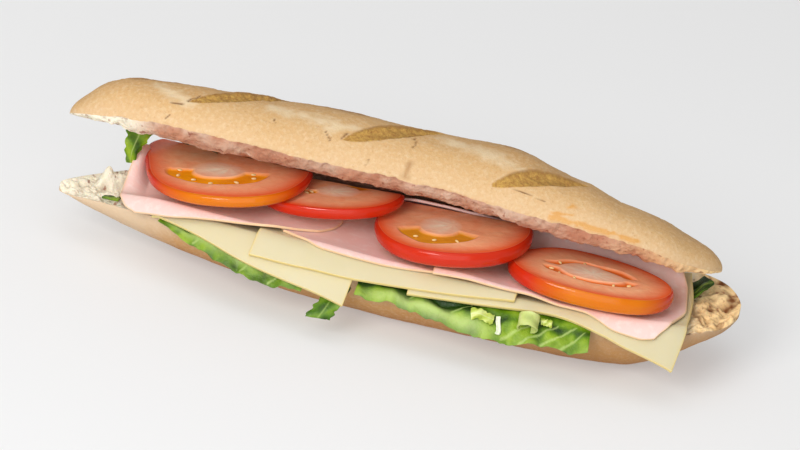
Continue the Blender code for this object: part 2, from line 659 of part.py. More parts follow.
def tomato(name, material):
    """A tomato slice: two flat faces and a round skin, tipped by what lies under it."""
    form = TOMATOES[name]
    segments = 28
    half_x, half_y = form["half"]
    thick = form["thick"]
    pitch, roll = math.radians(form["pitch"]), math.radians(form["roll"])
    front_y, front_z = form["front"]
    middle_y = front_y + half_y * math.cos(pitch)
    middle_z = front_z - half_y * math.sin(pitch)
    profile = [(0.0, 0.0), (0.62, 0.0), (0.955, 0.0), (0.985, -0.12), (1.0, -0.4), (0.99, -0.72)]
    profile += [(0.95, -0.95), (0.90, -1.0), (0.5, -1.0)]
    points = [(0, 0, 0)]
    for reach, depth in profile[1:]:
        for k in range(segments):
            turn = 2 * math.pi * k / segments
            wobble = 1 + 0.012 * math.sin(3 * turn + half_x) + 0.008 * math.sin(5 * turn)
            wobble += form["corner"][1] * math.exp(-(((math.degrees(turn) - form["corner"][0]) / 24.0) ** 2))
            out = reach * wobble
            points.append((out * half_x * math.cos(turn), out * half_y * math.sin(turn), depth * thick))
    points.append((0, 0, -thick))
    faces = []
    for k in range(segments):
        faces.append((0, 1 + k, 1 + (k + 1) % segments))
    for i in range(len(profile) - 2):
        for k in range(segments):
            a, b = 1 + i * segments + k, 1 + i * segments + (k + 1) % segments
            faces.append((a, a + segments, b + segments, b))
    last = 1 + (len(profile) - 2) * segments
    for k in range(segments):
        faces.append((len(points) - 1, last + (k + 1) % segments, last + k))
    placed = []
    for x, y, z in points:
        tipped_y = y * math.cos(pitch) + z * math.sin(pitch)
        tipped_z = z * math.cos(pitch) - y * math.sin(pitch)
        rolled_x = x * math.cos(roll) - tipped_z * math.sin(roll)
        rolled_z = x * math.sin(roll) + tipped_z * math.cos(roll)
        placed.append((form["x"] + rolled_x, middle_y + tipped_y, middle_z + rolled_z))
    left, right = form["x"] - half_x * 0.8, form["x"] + half_x * 0.8
    hinge = Vector((left, HINGE_Y, crumb_above(left, HINGE_Y)))
    edges = [Vector((x, 0.0, crumb_above(x, 0.0))) for x in (left, right)]
    normal = (edges[1] - edges[0]).cross(hinge - edges[0]).normalized()
    flat = dict(plane_co=edges[0] * MM, plane_no=normal, below=form["under"] * MM)
    return finish(name, placed, faces, material, flat)


def centre(pieces):
    """Moves all the pieces together, so that they stand on z = 0 round the middle of their box."""
    corners = np.array([tuple(v.co) for piece in pieces for v in piece.data.vertices])
    low, high = corners.min(axis=0), corners.max(axis=0)
    shift = Vector((-(low[0] + high[0]) / 2, -(low[1] + high[1]) / 2, -low[2]))
    for piece in pieces:
        for vertex in piece.data.vertices:
            vertex.co += shift
        piece.data.update()


def main():
    for old in list(bpy.data.objects):
        bpy.data.objects.remove(old, do_unlink=True)
    crust = food("baked_crust", (0.66, 0.43, 0.22), 0.7)
    cheese = food("mild_cheese", (0.85, 0.76, 0.42), 0.45)
    ham = food("cooked_ham", (0.80, 0.50, 0.47), 0.4)
    flesh = food("ripe_tomato", (0.72, 0.10, 0.03), 0.25)
    lettuce = food("crisp_lettuce", (0.10, 0.34, 0.03), 0.4)
    pieces = [bread_bottom(crust), bread_top(crust)]
    for name in SLICES:
        pieces.append(slice_of(name, cheese if name.startswith("cheese") else ham))
    pieces += [tomato(name, flesh) for name in TOMATOES]
    pieces += [leaf(name, lettuce) for name in LEAVES]
    for name in PRESSED:
        pieces.append(pressed_sheet(name, ham if name.startswith("ham") else lettuce))
    pieces += [loose_strip(name, lettuce) for name in STRIPS]
    pieces.append(roll("lettuce_stalk", lettuce))
    centre(pieces)


main()
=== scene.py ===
import math
import random

import bpy
import numpy as np
from mathutils import Matrix, Vector


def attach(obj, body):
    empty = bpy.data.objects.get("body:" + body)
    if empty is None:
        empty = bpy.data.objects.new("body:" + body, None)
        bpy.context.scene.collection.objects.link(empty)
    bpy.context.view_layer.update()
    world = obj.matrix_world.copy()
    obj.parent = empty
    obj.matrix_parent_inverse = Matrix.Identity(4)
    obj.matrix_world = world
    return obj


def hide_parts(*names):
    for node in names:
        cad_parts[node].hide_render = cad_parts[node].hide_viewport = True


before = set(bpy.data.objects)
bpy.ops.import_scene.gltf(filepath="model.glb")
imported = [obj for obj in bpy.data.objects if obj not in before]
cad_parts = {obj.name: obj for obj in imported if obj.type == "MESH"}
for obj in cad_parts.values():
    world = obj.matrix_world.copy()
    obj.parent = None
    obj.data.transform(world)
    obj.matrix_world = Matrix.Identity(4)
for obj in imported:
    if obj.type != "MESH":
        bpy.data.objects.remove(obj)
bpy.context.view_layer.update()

# the shapes below are in millimetres, before the whole is moved over the origin by this much
mm = 0.001
gap = 0.3
moveBy = (-0.25, 6.43, 0.0)

# lower half of the loaf: x, middle in y, half width, height of the cut face, height of the underside
bottomRows = [
    (-144.5, 0, 0, 22.5, 22.5), (-137, 1, 7, 23.5, 18.6), (-125, 3, 12.5, 24.8, 14.3),
    (-101, 5, 22.5, 27, 8), (-73, 4.5, 30, 28, 3.5), (-35, 2, 34.5, 28, -1),
    (20, -0.5, 36, 28, -2.5), (70, -2, 36.5, 28, -2.5), (100, -2.5, 35, 28, -1),
    (118, -2, 32, 28.5, 6.5), (131, -1, 26, 28.8, 15.5), (140, 0, 18.5, 29, 21),
    (146.5, 0, 0, 28.8, 28.8),
]
# upper half: x, half width, crown over the cut face, how far it is tilted open, height of its hinge line
topRows = [
    (-146, 0, 0, 29, 36.5), (-140, 11, 9, 29, 36.8), (-132, 16.5, 15.5, 29.2, 37.2),
    (-122, 21, 18.6, 29.6, 37.6), (-106, 27.5, 19.8, 30.2, 37.2), (-90, 31.5, 21.8, 31, 35.2),
    (-60, 35.5, 25.2, 32, 31.8), (-30, 36, 27.2, 32.2, 30.6), (0, 36, 26.4, 32, 30.2),
    (38, 36, 28, 30.2, 30), (66, 35, 22, 28.6, 30), (90, 32.5, 19, 27.4, 30),
    (108, 28, 16.2, 25.4, 30), (121, 21, 11.5, 22.8, 30.2), (130, 13, 7, 21.6, 30.6),
    (135.5, 0, 0, 21, 31),
]
hingeY = 36.0


def tone(hexColour):
    # sRGB hex to the linear colour that a shader takes
    parts = [int(hexColour[i:i + 2], 16) / 255 for i in (1, 3, 5)]
    return tuple(c / 12.92 if c <= 0.04045 else ((c + 0.055) / 1.055) ** 2.4 for c in parts) + (1.0,)


def unit(value):
    # held between 0 and 1
    return np.clip(value, 0.0, 1.0)


def smoothRows(rows, columns, x):
    # values of a table's columns at x, on monotone cubic curves through its rows
    table = np.array(rows, float)
    keys = table[:, 0]
    out = []
    for column in columns:
        values = table[:, column]
        steps = np.diff(keys)
        slopes = np.diff(values) / steps
        tangents = np.zeros(len(keys))
        for i in range(1, len(keys) - 1):
            if slopes[i - 1] * slopes[i] > 0:
                tangents[i] = 2.0 / (1.0 / slopes[i - 1] + 1.0 / slopes[i])
        tangents[0], tangents[-1] = slopes[0], slopes[-1]
        at = np.clip(x, keys[0], keys[-1])
        cell = np.clip(np.searchsorted(keys, at) - 1, 0, len(steps) - 1)
        t = (at - keys[cell]) / steps[cell]
        out.append(
            (2 * t**3 - 3 * t**2 + 1) * values[cell] + (t**3 - 2 * t**2 + t) * steps[cell] * tangents[cell]
            + (3 * t**2 - 2 * t**3) * values[cell + 1] + (t**3 - t**2) * steps[cell] * tangents[cell + 1]
        )
    return out


def smoothLine(rows, t):
    keys = [row[0] for row in rows]
    return np.interp(t, keys, [row[1] for row in rows]), np.interp(t, keys, [row[2] for row in rows])


def squaredRows(rows, columns):
    return [tuple(v**2 if i in columns else v for i, v in enumerate(row)) for row in rows]


def bottomAt(x):
    middle, cut, base = smoothRows(bottomRows, (1, 3, 4), x)
    (width2,) = smoothRows(squaredRows(bottomRows, (2,)), (2,), x)
    return middle, np.sqrt(np.maximum(width2, 0.0)), cut, np.maximum(cut - base, 0.05)


def topAt(x):
    width2, crown2 = smoothRows(squaredRows(topRows, (1, 2)), (1, 2), x)
    angle, hinge = smoothRows(topRows, (3, 4), x)
    return np.sqrt(np.maximum(width2, 0.0)), np.sqrt(np.maximum(crown2, 0.0)), np.radians(angle), hinge


def waves(x, y, size, seed):
    # long uneven swells, as the solids have them
    draw = random.Random(seed)
    total = 0.0
    for _ in range(6):
        angle = draw.uniform(0, 2 * math.pi)
        length = size * draw.uniform(0.7, 1.5)
        phase = draw.uniform(0, 2 * math.pi)
        total = total + np.sin((x * math.cos(angle) + y * math.sin(angle)) * 2 * math.pi / length + phase)
    return total / 3.5


latticeDraw = np.random.RandomState(11)
latticeSize = 48
lattice = latticeDraw.rand(latticeSize, latticeSize, latticeSize) * 2 - 1
cellPoints = latticeDraw.rand(latticeSize, latticeSize, latticeSize, 3)


def grain(x, y, z, size, octaves=3):
    # soft random relief between -1 and 1; size is the width of its largest lumps
    total, weight = 0.0, 0.0
    for k in range(octaves):
        p = np.stack([np.asarray(v, float) for v in np.broadcast_arrays(x, y, z)]) * 2**k / size + 17.3 * k + 50
        whole = np.floor(p).astype(int)
        t = p - whole
        t = t * t * (3 - 2 * t)
        value = 0.0
        for corner in range(8):
            pick = [(corner >> a) & 1 for a in range(3)]
            share = 1.0
            for a in range(3):
                share = share * (t[a] if pick[a] else 1 - t[a])
            value = value + share * lattice[tuple((whole[a] + pick[a]) % latticeSize for a in range(3))]
        total = total + value * 0.5**k
        weight += 0.5**k
    return total / weight * 1.5


def bubbles(x, y, z, size):
    # distance to the nearest of scattered points, over size: 0 in a pore's middle, about 1 on its walls
    p = np.stack([np.asarray(v, float) for v in np.broadcast_arrays(x, y, z)]) / size + 60
    whole = np.floor(p).astype(int)
    best = np.full(p.shape[1:], 9.0)
    for i in (-1, 0, 1):
        for j in (-1, 0, 1):
            for k in (-1, 0, 1):
                cell = (whole[0] + i, whole[1] + j, whole[2] + k)
                point = cellPoints[tuple(c % latticeSize for c in cell)]
                off = np.stack([cell[a] + point[..., a] - p[a] for a in range(3)])
                best = np.minimum(best, (off**2).sum(axis=0))
    return np.sqrt(best)


def dishAt(x, y):
    middle, width, cut, _ = bottomAt(x)
    across = np.clip((y - middle) / np.maximum(width, 0.5), -1.0, 1.0)
    pressed = unit((x + 138.0) / 30.0) * unit((140.0 - x) / 26.0)
    return cut + 1.5 * across - 5.8 * pressed * (1 - across**2)


def restAt(x, y, droop):
    # where the filling starts: on the crumb, over the front rim, then down outside it
    middle, width, _, _ = bottomAt(x)
    inside = middle - width * 0.97
    past = np.maximum(inside - y, 0.0)
    behind = np.minimum(np.maximum(y, inside), middle + width * 0.9)
    return dishAt(x, behind) + gap - droop * past**2 / (past + 6.0)


def crumbAbove(x, y):
    _, _, angle, hinge = topAt(x)
    return hinge + (hingeY - y) * np.tan(angle)


def reading(table, at):
    return smoothRows(table, (1,), at)[0]


def clearSelection():
    if bpy.context.object and bpy.context.object.mode != "OBJECT":
        bpy.ops.object.mode_set(mode="OBJECT")
    bpy.ops.object.select_all(action="DESELECT")


def layPoints(piece, points, marks):
    # the primitive's points go to their places in the row frame, and each mark is kept for the material
    mesh = piece.data
    place = (np.stack([np.asarray(v, float) for v in points], axis=1) + np.array(moveBy)) * mm
    mesh.vertices.foreach_set("co", place.ravel())
    for name, values in marks.items():
        layer = mesh.attributes.new(name, "FLOAT", "POINT")
        layer.data.foreach_set("value", np.broadcast_to(values, (len(mesh.vertices),)).astype(float))
    mesh.update()


def roundForm(name, segments, rings, shape):
    # a closed form from a ball: t runs from one pole to the other, s round it
    clearSelection()
    bpy.ops.mesh.primitive_uv_sphere_add(segments=segments, ring_count=rings, radius=1.0)
    piece = bpy.context.object
    piece.name = name
    co = np.empty(len(piece.data.vertices) * 3)
    piece.data.vertices.foreach_get("co", co)
    co = co.reshape(-1, 3)
    t = np.arccos(np.clip(co[:, 2], -1, 1)) / math.pi
    s = (np.arctan2(co[:, 1], co[:, 0]) / (2 * math.pi)) % 1.0
    s = np.round(s * segments) % segments / segments
    t = np.round(t * rings) / rings
    points, marks = shape(t, s)
    layPoints(piece, points, marks)
    bpy.ops.object.mode_set(mode="EDIT")
    bpy.ops.mesh.select_all(action="SELECT")
    bpy.ops.mesh.normals_make_consistent(inside=False)
    bpy.ops.object.mode_set(mode="OBJECT")
    bpy.ops.object.shade_smooth()
    return piece


def thinForm(name, columns, rows, shape, thick, rim=0.3):
    # a sheet from a grid: u and v run from 0 to 1 along and across; it is thickened upwards
    clearSelection()
    bpy.ops.mesh.primitive_grid_add(x_subdivisions=columns, y_subdivisions=rows, size=2.0)
    piece = bpy.context.object
    piece.name = name
    co = np.empty(len(piece.data.vertices) * 3)
    piece.data.vertices.foreach_get("co", co)
    co = co.reshape(-1, 3)
    points, marks = shape(co[:, 0] * 0.5 + 0.5, co[:, 1] * 0.5 + 0.5)
    layPoints(piece, points, marks)
    wall = piece.modifiers.new("thickness", "SOLIDIFY")
    wall.thickness, wall.offset, wall.use_even_offset = thick * mm, 1.0, True
    wall.use_quality_normals = True
    edge = piece.modifiers.new("soft rim", "BEVEL")
    edge.width, edge.segments, edge.limit_method, edge.angle_limit = rim * mm, 2, "ANGLE", math.radians(60)
    bpy.ops.object.modifier_apply(modifier=wall.name)
    bpy.ops.object.modifier_apply(modifier=edge.name)
    bpy.ops.object.shade_smooth()
    return piece


def settle(piece, material, slotName, *nodes):
    if material:
        piece.data.materials.append(material)
    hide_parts(*nodes)
    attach(piece, "root")


socketNames = {
    "base": "Base Color", "rough": "Roughness", "specular": "Specular IOR Level", "ior": "IOR",
    "within": "Subsurface Weight", "reach": "Subsurface Radius",
    "glow": "Emission Color", "glowStrength": "Emission Strength",
}


def addNode(tree, kind, inputs=None, **settings):
    # one node with its settings, its values and its links
    made = tree.nodes.new(kind)
    for key, value in settings.items():
        setattr(made, key, value)
    for key, value in (inputs or {}).items():
        if isinstance(value, bpy.types.NodeSocket):
            tree.links.new(value, made.inputs[key])
        else:
            made.inputs[key].default_value = value
    return made


def markOf(tree, name):
    return addNode(tree, "ShaderNodeAttribute", attribute_name=name).outputs["Fac"]


def blend(tree, share, first, second):
    # share 0 gives the first colour, share 1 the second; each is a hex string or a socket
    first, second = (tone(each) if isinstance(each, str) else each for each in (first, second))
    return addNode(tree, "ShaderNodeMix", {0: share, 6: first, 7: second}, data_type="RGBA").outputs[2]


def threeTones(tree, level, low, middle, high, start=0.0, end=1.0):
    # three colours along a ramp, the middle one at a half
    ramp = addNode(tree, "ShaderNodeValToRGB", {"Fac": level})
    stops = ramp.color_ramp.elements
    stops[0].position, stops[0].color = start, tone(low)
    stops[1].position, stops[1].color = end, tone(high)
    stops.new(0.5).color = tone(middle)
    return ramp.outputs["Color"]


def bump(tree, height, strength, distance, under=None):
    # relief that only shades; distance in metres, under is the relief it lies on
    inputs = {"Height": height, "Strength": strength, "Distance": distance}
    if under is not None:
        inputs["Normal"] = under
    return addNode(tree, "ShaderNodeBump", inputs).outputs[0]


def noise(tree, here, size, detail=2.0, roughness=0.5, distortion=0.0):
    # soft noise with lumps of about size millimetres
    inputs = {"Vector": here, "Scale": 1000 / size, "Detail": detail, "Roughness": roughness,
        "Distortion": distortion}
    return addNode(tree, "ShaderNodeTexNoise", inputs).outputs["Fac"]


def spread(tree, value, fromMin=0.0, fromMax=1.0, toMin=0.0, toMax=1.0):
    inputs = {"Value": value, "From Min": fromMin, "From Max": fromMax, "To Min": toMin, "To Max": toMax}
    return addNode(tree, "ShaderNodeMapRange", inputs).outputs[0]


def setShader(shader, **values):
    # constants go straight on the shader's own sockets
    for name, value in values.items():
        shader.inputs[socketNames[name]].default_value = value


def startMaterial(name):
    material = bpy.data.materials.new(name)
    material.use_nodes = True
    return material, material.node_tree, material.node_tree.nodes["Principled BSDF"]


def makeCrust(name, look):
    # baked wheat crust, dusted with flour before baking: matt, peach gold low down, floury grey beige on
    # the crown, ochre where the cuts opened, with fine wrinkles a millimetre or so across; dark brown painted
    # shade in its cracks, under each cut's lifted lip and deep in the cuts. On the lower half of the loaf the
    # darker underside and right end are painted shade as well as baked colour, and the paler left end is partly
    # flour and partly painted light
    material, tree, shader = startMaterial(name)
    here = addNode(tree, "ShaderNodeTexCoord").outputs["Object"]
    markNames = ("high", "opened", "sauce", "cutAndCrackShade", "pale")
    high, opened, sauce, cutAndCrackShade, pale = (markOf(tree, mark) for mark in markNames)
    patches = noise(tree, here, 30, detail=5.0, roughness=0.55)
    fine = noise(tree, here, 1.6, detail=5.0, roughness=0.65)
    shifted = addNode(tree, "ShaderNodeMath", {0: patches, 1: 0.7, 2: high}, operation="MULTIPLY_ADD")
    level = spread(tree, shifted.outputs[0], fromMin=0.35, fromMax=1.35)
    # tone from low down to the crown; on the lower half its darkening towards the underside is partly painted
    # shade
    bakeAndShadeTone = threeTones(tree, level, look["low"], look["middle"], look["crown"])
    flourAmount = spread(tree, fine, fromMin=0.46, fromMax=0.68, toMax=look["flour"])
    floury = blend(tree, flourAmount, bakeAndShadeTone, look["flourTone"])
    speck = noise(tree, here, 1.5, detail=4.0, roughness=0.75)
    speckAmount = spread(tree, speck, fromMin=0.56, fromMax=0.76, toMax=0.5)
    specked = blend(tree, speckAmount, floury, look["speck"])
    # flour patches; on the lower half the paler left end is partly flour and partly painted light
    flouredAndLit = blend(tree, pale, specked, look["flourTone"])
    streaks = noise(tree, here, 2.2, detail=6.0, roughness=0.75, distortion=1.0)
    streakAmount = spread(tree, streaks, fromMin=0.36, fromMax=0.64)
    inside = blend(tree, streakAmount, look["openedDark"], look["opened"])
    cut = blend(tree, opened, flouredAndLit, inside)
    # toasted patches on the upper half; on the lower half the darker right end is painted shade
    toastAndShade = markOf(tree, "toastAndShade")
    toasted = blend(tree, toastAndShade, cut, look["toastAndShade"])
    # dark brown painted shade in the cracks, under each cut's lifted lip and deep in the cuts
    cutAndCrackShaded = blend(tree, cutAndCrackShade, toasted, look["cutAndCrackShade"])
    film = spread(tree, sauce, toMax=0.62)
    sauced = blend(tree, film, cutAndCrackShaded, look["sauce"])
    tree.links.new(sauced, shader.inputs["Base Color"])
    rough = spread(tree, sauce, toMin=0.82, toMax=0.16)
    tree.links.new(rough, shader.inputs["Roughness"])
    small = bump(tree, fine, 0.5, 0.0007)
    pores = bump(tree, speck, 0.25, 0.0008, small)
    tree.links.new(pores, shader.inputs["Normal"])
    setShader(shader, within=0.06, reach=(0.003, 0.0015, 0.0007), specular=0.25)
    return material


def makeCrumb(name, look):
    # soft baked wheat crumb, torn open: matt and porous, cream with tan pore walls and dark brown painted
    # shade in the pore hollows; its pink mauve tint is partly sauce stain pressed in from the filling and
    # partly painted shade with a painted pink reflection of the filling
    material, tree, shader = startMaterial(name)
    here = addNode(tree, "ShaderNodeTexCoord").outputs["Object"]
    tint, torn, deep = (markOf(tree, mark) for mark in ("tint", "torn", "deep"))
    lumps = noise(tree, here, 5.0, detail=6.0, roughness=0.65)
    pore = addNode(tree, "ShaderNodeTexVoronoi", {"Vector": here, "Scale": 1000 / 1.9}, feature="F1")
    base = blend(tree, lumps, look["shade"], look["light"])
    tan = blend(tree, lumps, look["tornDark"], look["torn"])
    ends = blend(tree, torn, base, tan)
    # partly sauce stain, partly painted shade and painted pink reflection of the filling
    stainAndShade = blend(tree, lumps, look["stainAndShadeDark"], look["stainAndShade"])
    stainedAndShaded = blend(tree, tint, ends, stainAndShade)
    spots = noise(tree, here, 3.2, detail=2.0, roughness=0.5)
    spotAmount = spread(tree, spots, fromMin=0.62, fromMax=0.70, toMax=0.75)
    spotted = blend(tree, spotAmount, stainedAndShaded, look["spot"])
    # painted shade in the pore hollows
    hollow = blend(tree, deep, spotted, look["deep"])
    tree.links.new(hollow, shader.inputs["Base Color"])
    small = bump(tree, pore.outputs["Distance"], 0.5, 0.0009)
    large = bump(tree, lumps, 0.6, 0.0016, small)
    tree.links.new(large, shader.inputs["Normal"])
    setShader(shader, rough=0.85, within=0.15, reach=(0.003, 0.0018, 0.001), specular=0.2)
    return material


def makeCheese(name, look):
    # mild semi-hard cheese cut by machine: smooth and slightly waxy, faint knife lines along the slice,
    # light passes a few millimetres into it
    material, tree, shader = startMaterial(name)
    here = addNode(tree, "ShaderNodeTexCoord").outputs["Object"]
    edge = markOf(tree, "edge")
    soft = noise(tree, here, 26, detail=3.0)
    body = blend(tree, soft, look["shade"], look["light"])
    rim = blend(tree, edge, body, look["edge"])
    tree.links.new(rim, shader.inputs["Base Color"])
    stretched = addNode(tree, "ShaderNodeMapping", {"Vector": here, "Scale": (0.15, 1.0, 1.0)})
    lines = noise(tree, stretched.outputs[0], 1.6, detail=2.0)
    marks = bump(tree, lines, 0.10, 0.0004)
    tree.links.new(marks, shader.inputs["Normal"])
    setShader(shader, rough=0.42, within=0.35, reach=(0.004, 0.003, 0.0015), ior=1.45)
    return material


def makeHam(name, look):
    # cooked pressed ham, sliced thin: moist, pale pink with whiter fat flecks and a few dark specks,
    # a thin tan rim where the joint was cooked
    material, tree, shader = startMaterial(name)
    here = addNode(tree, "ShaderNodeTexCoord").outputs["Object"]
    edge = markOf(tree, "edge")
    muscle = noise(tree, here, 16, detail=6.0, roughness=0.6, distortion=0.8)
    fat = noise(tree, here, 3.4, detail=3.0, roughness=0.55)
    base = blend(tree, muscle, look["shade"], look["light"])
    fatAmount = spread(tree, fat, fromMin=0.50, fromMax=0.72, toMax=0.6)
    flecked = blend(tree, fatAmount, base, look["fat"])
    dots = addNode(tree, "ShaderNodeTexVoronoi", {"Vector": here, "Scale": 1000 / 15}, feature="F1")
    dotAmount = spread(tree, dots.outputs["Distance"], fromMin=0.045, fromMax=0.025, toMax=0.55)
    dotted = blend(tree, dotAmount, flecked, look["speck"])
    rim = blend(tree, edge, dotted, look["rim"])
    tree.links.new(rim, shader.inputs["Base Color"])
    dents = bump(tree, fat, 0.18, 0.0006)
    tree.links.new(dents, shader.inputs["Normal"])
    setShader(shader, rough=0.38, within=0.15, reach=(0.004, 0.0016, 0.0012), ior=1.4)
    return material


def makeTomato(name, look):
    # ripe tomato, freshly cut: glossy thin skin from red to orange, wet salmon walls with pale fibres, a
    # cream heart, and clear orange jelly in the seed pockets
    material, tree, shader = startMaterial(name)
    here = addNode(tree, "ShaderNodeTexCoord").outputs["Object"]
    markNames = ("skin", "ripe", "jelly", "heart", "outer")
    skin, ripe, jelly, heart, outer = (markOf(tree, mark) for mark in markNames)
    fibre = noise(tree, here, 4.0, detail=5.0, roughness=0.6, distortion=0.6)
    cloud = noise(tree, here, 12, detail=3.0)
    wall = blend(tree, fibre, look["wallDark"], look["wall"])
    reddened = blend(tree, outer, wall, look["outer"])
    cream = blend(tree, heart, reddened, look["heart"])
    gel = blend(tree, cloud, look["jellyDark"], look["jelly"])
    pocket = blend(tree, jelly, cream, gel)
    peel = blend(tree, ripe, look["skinOrange"], look["skinRed"])
    whole = blend(tree, skin, pocket, peel)
    tree.links.new(whole, shader.inputs["Base Color"])
    gloss = spread(tree, skin, toMin=0.22, toMax=0.11)
    tree.links.new(gloss, shader.inputs["Roughness"])
    fleshBump = bump(tree, fibre, 0.25, 0.0007)
    tree.links.new(fleshBump, shader.inputs["Normal"])
    setShader(shader, within=0.2, reach=(0.004, 0.0016, 0.0008), ior=1.36)
    return material


def makeLeaf(name, look):
    # crisp lettuce: thin and satin, yellow green lit through, with pale branching ribs; its green is darker
    # with painted shade in its grooves and under the cheese, and lighter with painted light on its raised
    # crinkles
    material, tree, shader = startMaterial(name)
    here = addNode(tree, "ShaderNodeTexCoord").outputs["Object"]
    vein, pale, paintedLightLevel = (markOf(tree, mark) for mark in ("vein", "pale", "paintedLightLevel"))
    patches = noise(tree, here, 5, detail=5.0, roughness=0.6, distortion=0.5)
    blisters = noise(tree, here, 1.7, detail=3.0, distortion=1.0)
    cloudy = addNode(tree, "ShaderNodeMath", {0: patches, 1: 0.5, 2: -0.25}, operation="MULTIPLY_ADD")
    # a level of painted light and painted shade sets the green
    level = addNode(tree, "ShaderNodeMath", {0: cloudy.outputs[0], 1: paintedLightLevel}, operation="ADD")
    green = threeTones(tree, level.outputs[0], look["deep"], look["leaf"], look["light"], 0.12, 0.88)
    ribbed = blend(tree, vein, green, look["rib"])
    whitened = blend(tree, pale, ribbed, look["pale"])
    tree.links.new(whitened, shader.inputs["Base Color"])
    raised = bump(tree, blisters, 0.45, 0.0008)
    tree.links.new(raised, shader.inputs["Normal"])
    setShader(shader, rough=0.42, within=0.15, reach=(0.001, 0.002, 0.0006), specular=0.35, ior=1.4)
    return material


# the darkest brown of the crust is painted shade for its cracks and cuts
crustLook = {
    "low": "#D4B186", "middle": "#D0A874", "crown": "#C89C66", "flour": 0.42, "flourTone": "#E2CBA6",
    "speck": "#A8733C", "opened": "#D0A656", "openedDark": "#A0713A", "cutAndCrackShade": "#6A4320", "sauce": "#D08E2A",
    "toastAndShade": "#9A6A38",
}
# lower half: the darker tones towards the underside are partly painted shade, the toast tone over its right end
# is painted shade, and the flour tone at its left end is partly painted light
bottomLook = dict(crustLook, low="#C6A988", middle="#BE8E58", crown="#A8713E", flour=0.30, flourTone="#D6BEA0")
# the stain colours are partly sauce stain and partly painted shade with painted pink reflection; deep is
# painted shade in the pores
crumbLook = {
    "light": "#F4EEDC", "shade": "#E0D4B8", "torn": "#FFE4B0", "tornDark": "#E4B87C", "stainAndShade": "#C89072",
    "stainAndShadeDark": "#A46A52", "spot": "#8E4B36", "deep": "#7A4A28",
}
crust = makeCrust("bakedFlouredCrust", crustLook)
bottomCrust = makeCrust("bakedUndersideCrust", bottomLook)
crumb = makeCrumb("tornWheatCrumb", crumbLook)
cheese = makeCheese("mildSlicedCheese", {"light": "#D6CCAA", "shade": "#CEC298", "edge": "#DCC682"})
ham = makeHam("cookedPressedHam", {"light": "#F4D8D0", "shade": "#F0C6BE", "fat": "#F8E4DE", "speck": "#A4584C",
    "rim": "#E8C49C"})
print("materials made")


# millimetres round the crust from one cut edge to the other
crustGirth = 105.0
# where each cut of the baker starts and ends (x, share of the girth), its half width and its depth
scores = [((-97, 0.17), (-43, 0.55), 7, 2.2), ((-31, 0.12), (10, 0.40), 6.5, 2.4),
          ((33, 0.07), (73, 0.34), 6, 3)]


def topLip(x, side, width):
    reach = topLoaf["lip"] * (1 + 0.5 * unit((x - 30.0) / 40.0)) * np.minimum(1.0, width / 24.0)
    run = unit((side - 0.45) / 0.55)
    return reach * np.sin(math.pi * run**1.6) ** 0.8


def scoreMarks(x, place):
    # baker's cuts: how much the crust is lowered or raised, and how far it is opened
    relief, opened, ear = np.zeros_like(x), np.zeros_like(x), np.zeros_like(x)
    for (x0, p0), (x1, p1), halfWidth, depth in scores:
        run = unit((x - x0) / (x1 - x0))
        inside = (x > x0) & (x < x1)
        bell = np.sin(math.pi * run) * inside
        off = (place - (p0 + (p1 - p0) * run)) * crustGirth
        reach = halfWidth * bell**0.6 + 0.01
        dip = unit(1 - (off / reach) ** 2) * inside
        relief -= depth * dip * bell**0.5
        relief += 0.9 * np.exp(-(((off - reach) / 2.5) ** 2)) * bell
        opened = np.maximum(opened, unit(dip * 3.5))
        ear = np.maximum(ear, np.exp(-(((off - reach + 0.6) / 0.9) ** 2)) * unit(bell * 2))
    return relief, opened, ear


def offLine(px, py, dx, dy):
    # how far a point is from the line between the origin and (dx, dy), and its place along that
    t = unit((px * dx + py * dy) / (dx * dx + dy * dy))
    return np.hypot(px - t * dx, py - t * dy), t


def nearLine(x, place, start, end, width):
    # 1 on a line drawn on the crust, falling to 0 at width millimetres from it
    across, along = (end[1] - start[1]) * crustGirth, end[0] - start[0]
    away, _ = offLine(x - start[0], (place - start[1]) * crustGirth, along, across)
    return unit(1 - away / width)


topLoaf = {
    "stations": 430, "around": 224, "crumbShare": 0.32, "lip": 2.6, "hang": 4.3,
    # fine cracks: start, end, half width
    "cracks": [((-2.2, 0.17), (-1.2, 0.25), 0.6), ((-105.5, 0.02), (-103.5, 0.05), 0.5),
               ((-36, 0.10), (-39, 0.15), 0.4), ((-32, 0.125), (-30, 0.16), 0.9),
               ((-98, 0.17), (-93, 0.245), 0.8), ((-103, 0.135), (-99.5, 0.14), 1.1),
               ((40, 0.085), (56, 0.075), 0.35), ((-20, 0.02), (-19, 0.05), 0.3),
               ((-60, 0.13), (-61, 0.17), 0.3)],
    "sauce": [((60, 0.012), (97, 0.016), 1.9), ((66, 0.085), (67.5, 0.105), 1.9),
              ((60, 0.03), (68, 0.05), 1.4)],
    "toasted": [((-45, 0.44), (-26, 0.40), 6), ((-3, 0.01), (-2, 0.07), 2.2), ((40, 0.45), (70, 0.5), 6),
                ((-120, 0.40), (-105, 0.42), 4)],
    "floured": [((-112, 0.30), (-99, 0.16), 5), ((-62, 0.25), (-35, 0.2), 5), ((-38, 0.17), (-28, 0.22), 4),
                ((12, 0.3), (40, 0.22), 6)],
}


def markedLines(x, place, lines, skin, blot, gain, cut):
    # broken patches along lines on the crust
    mark = np.zeros_like(x)
    for start, end, wide in lines:
        near = nearLine(x, place, start, end, wide * 1.5)
        mark = np.maximum(mark, unit((near - 0.5 * cut + cut * blot) * gain) * unit(near * 4) * skin)
    return mark


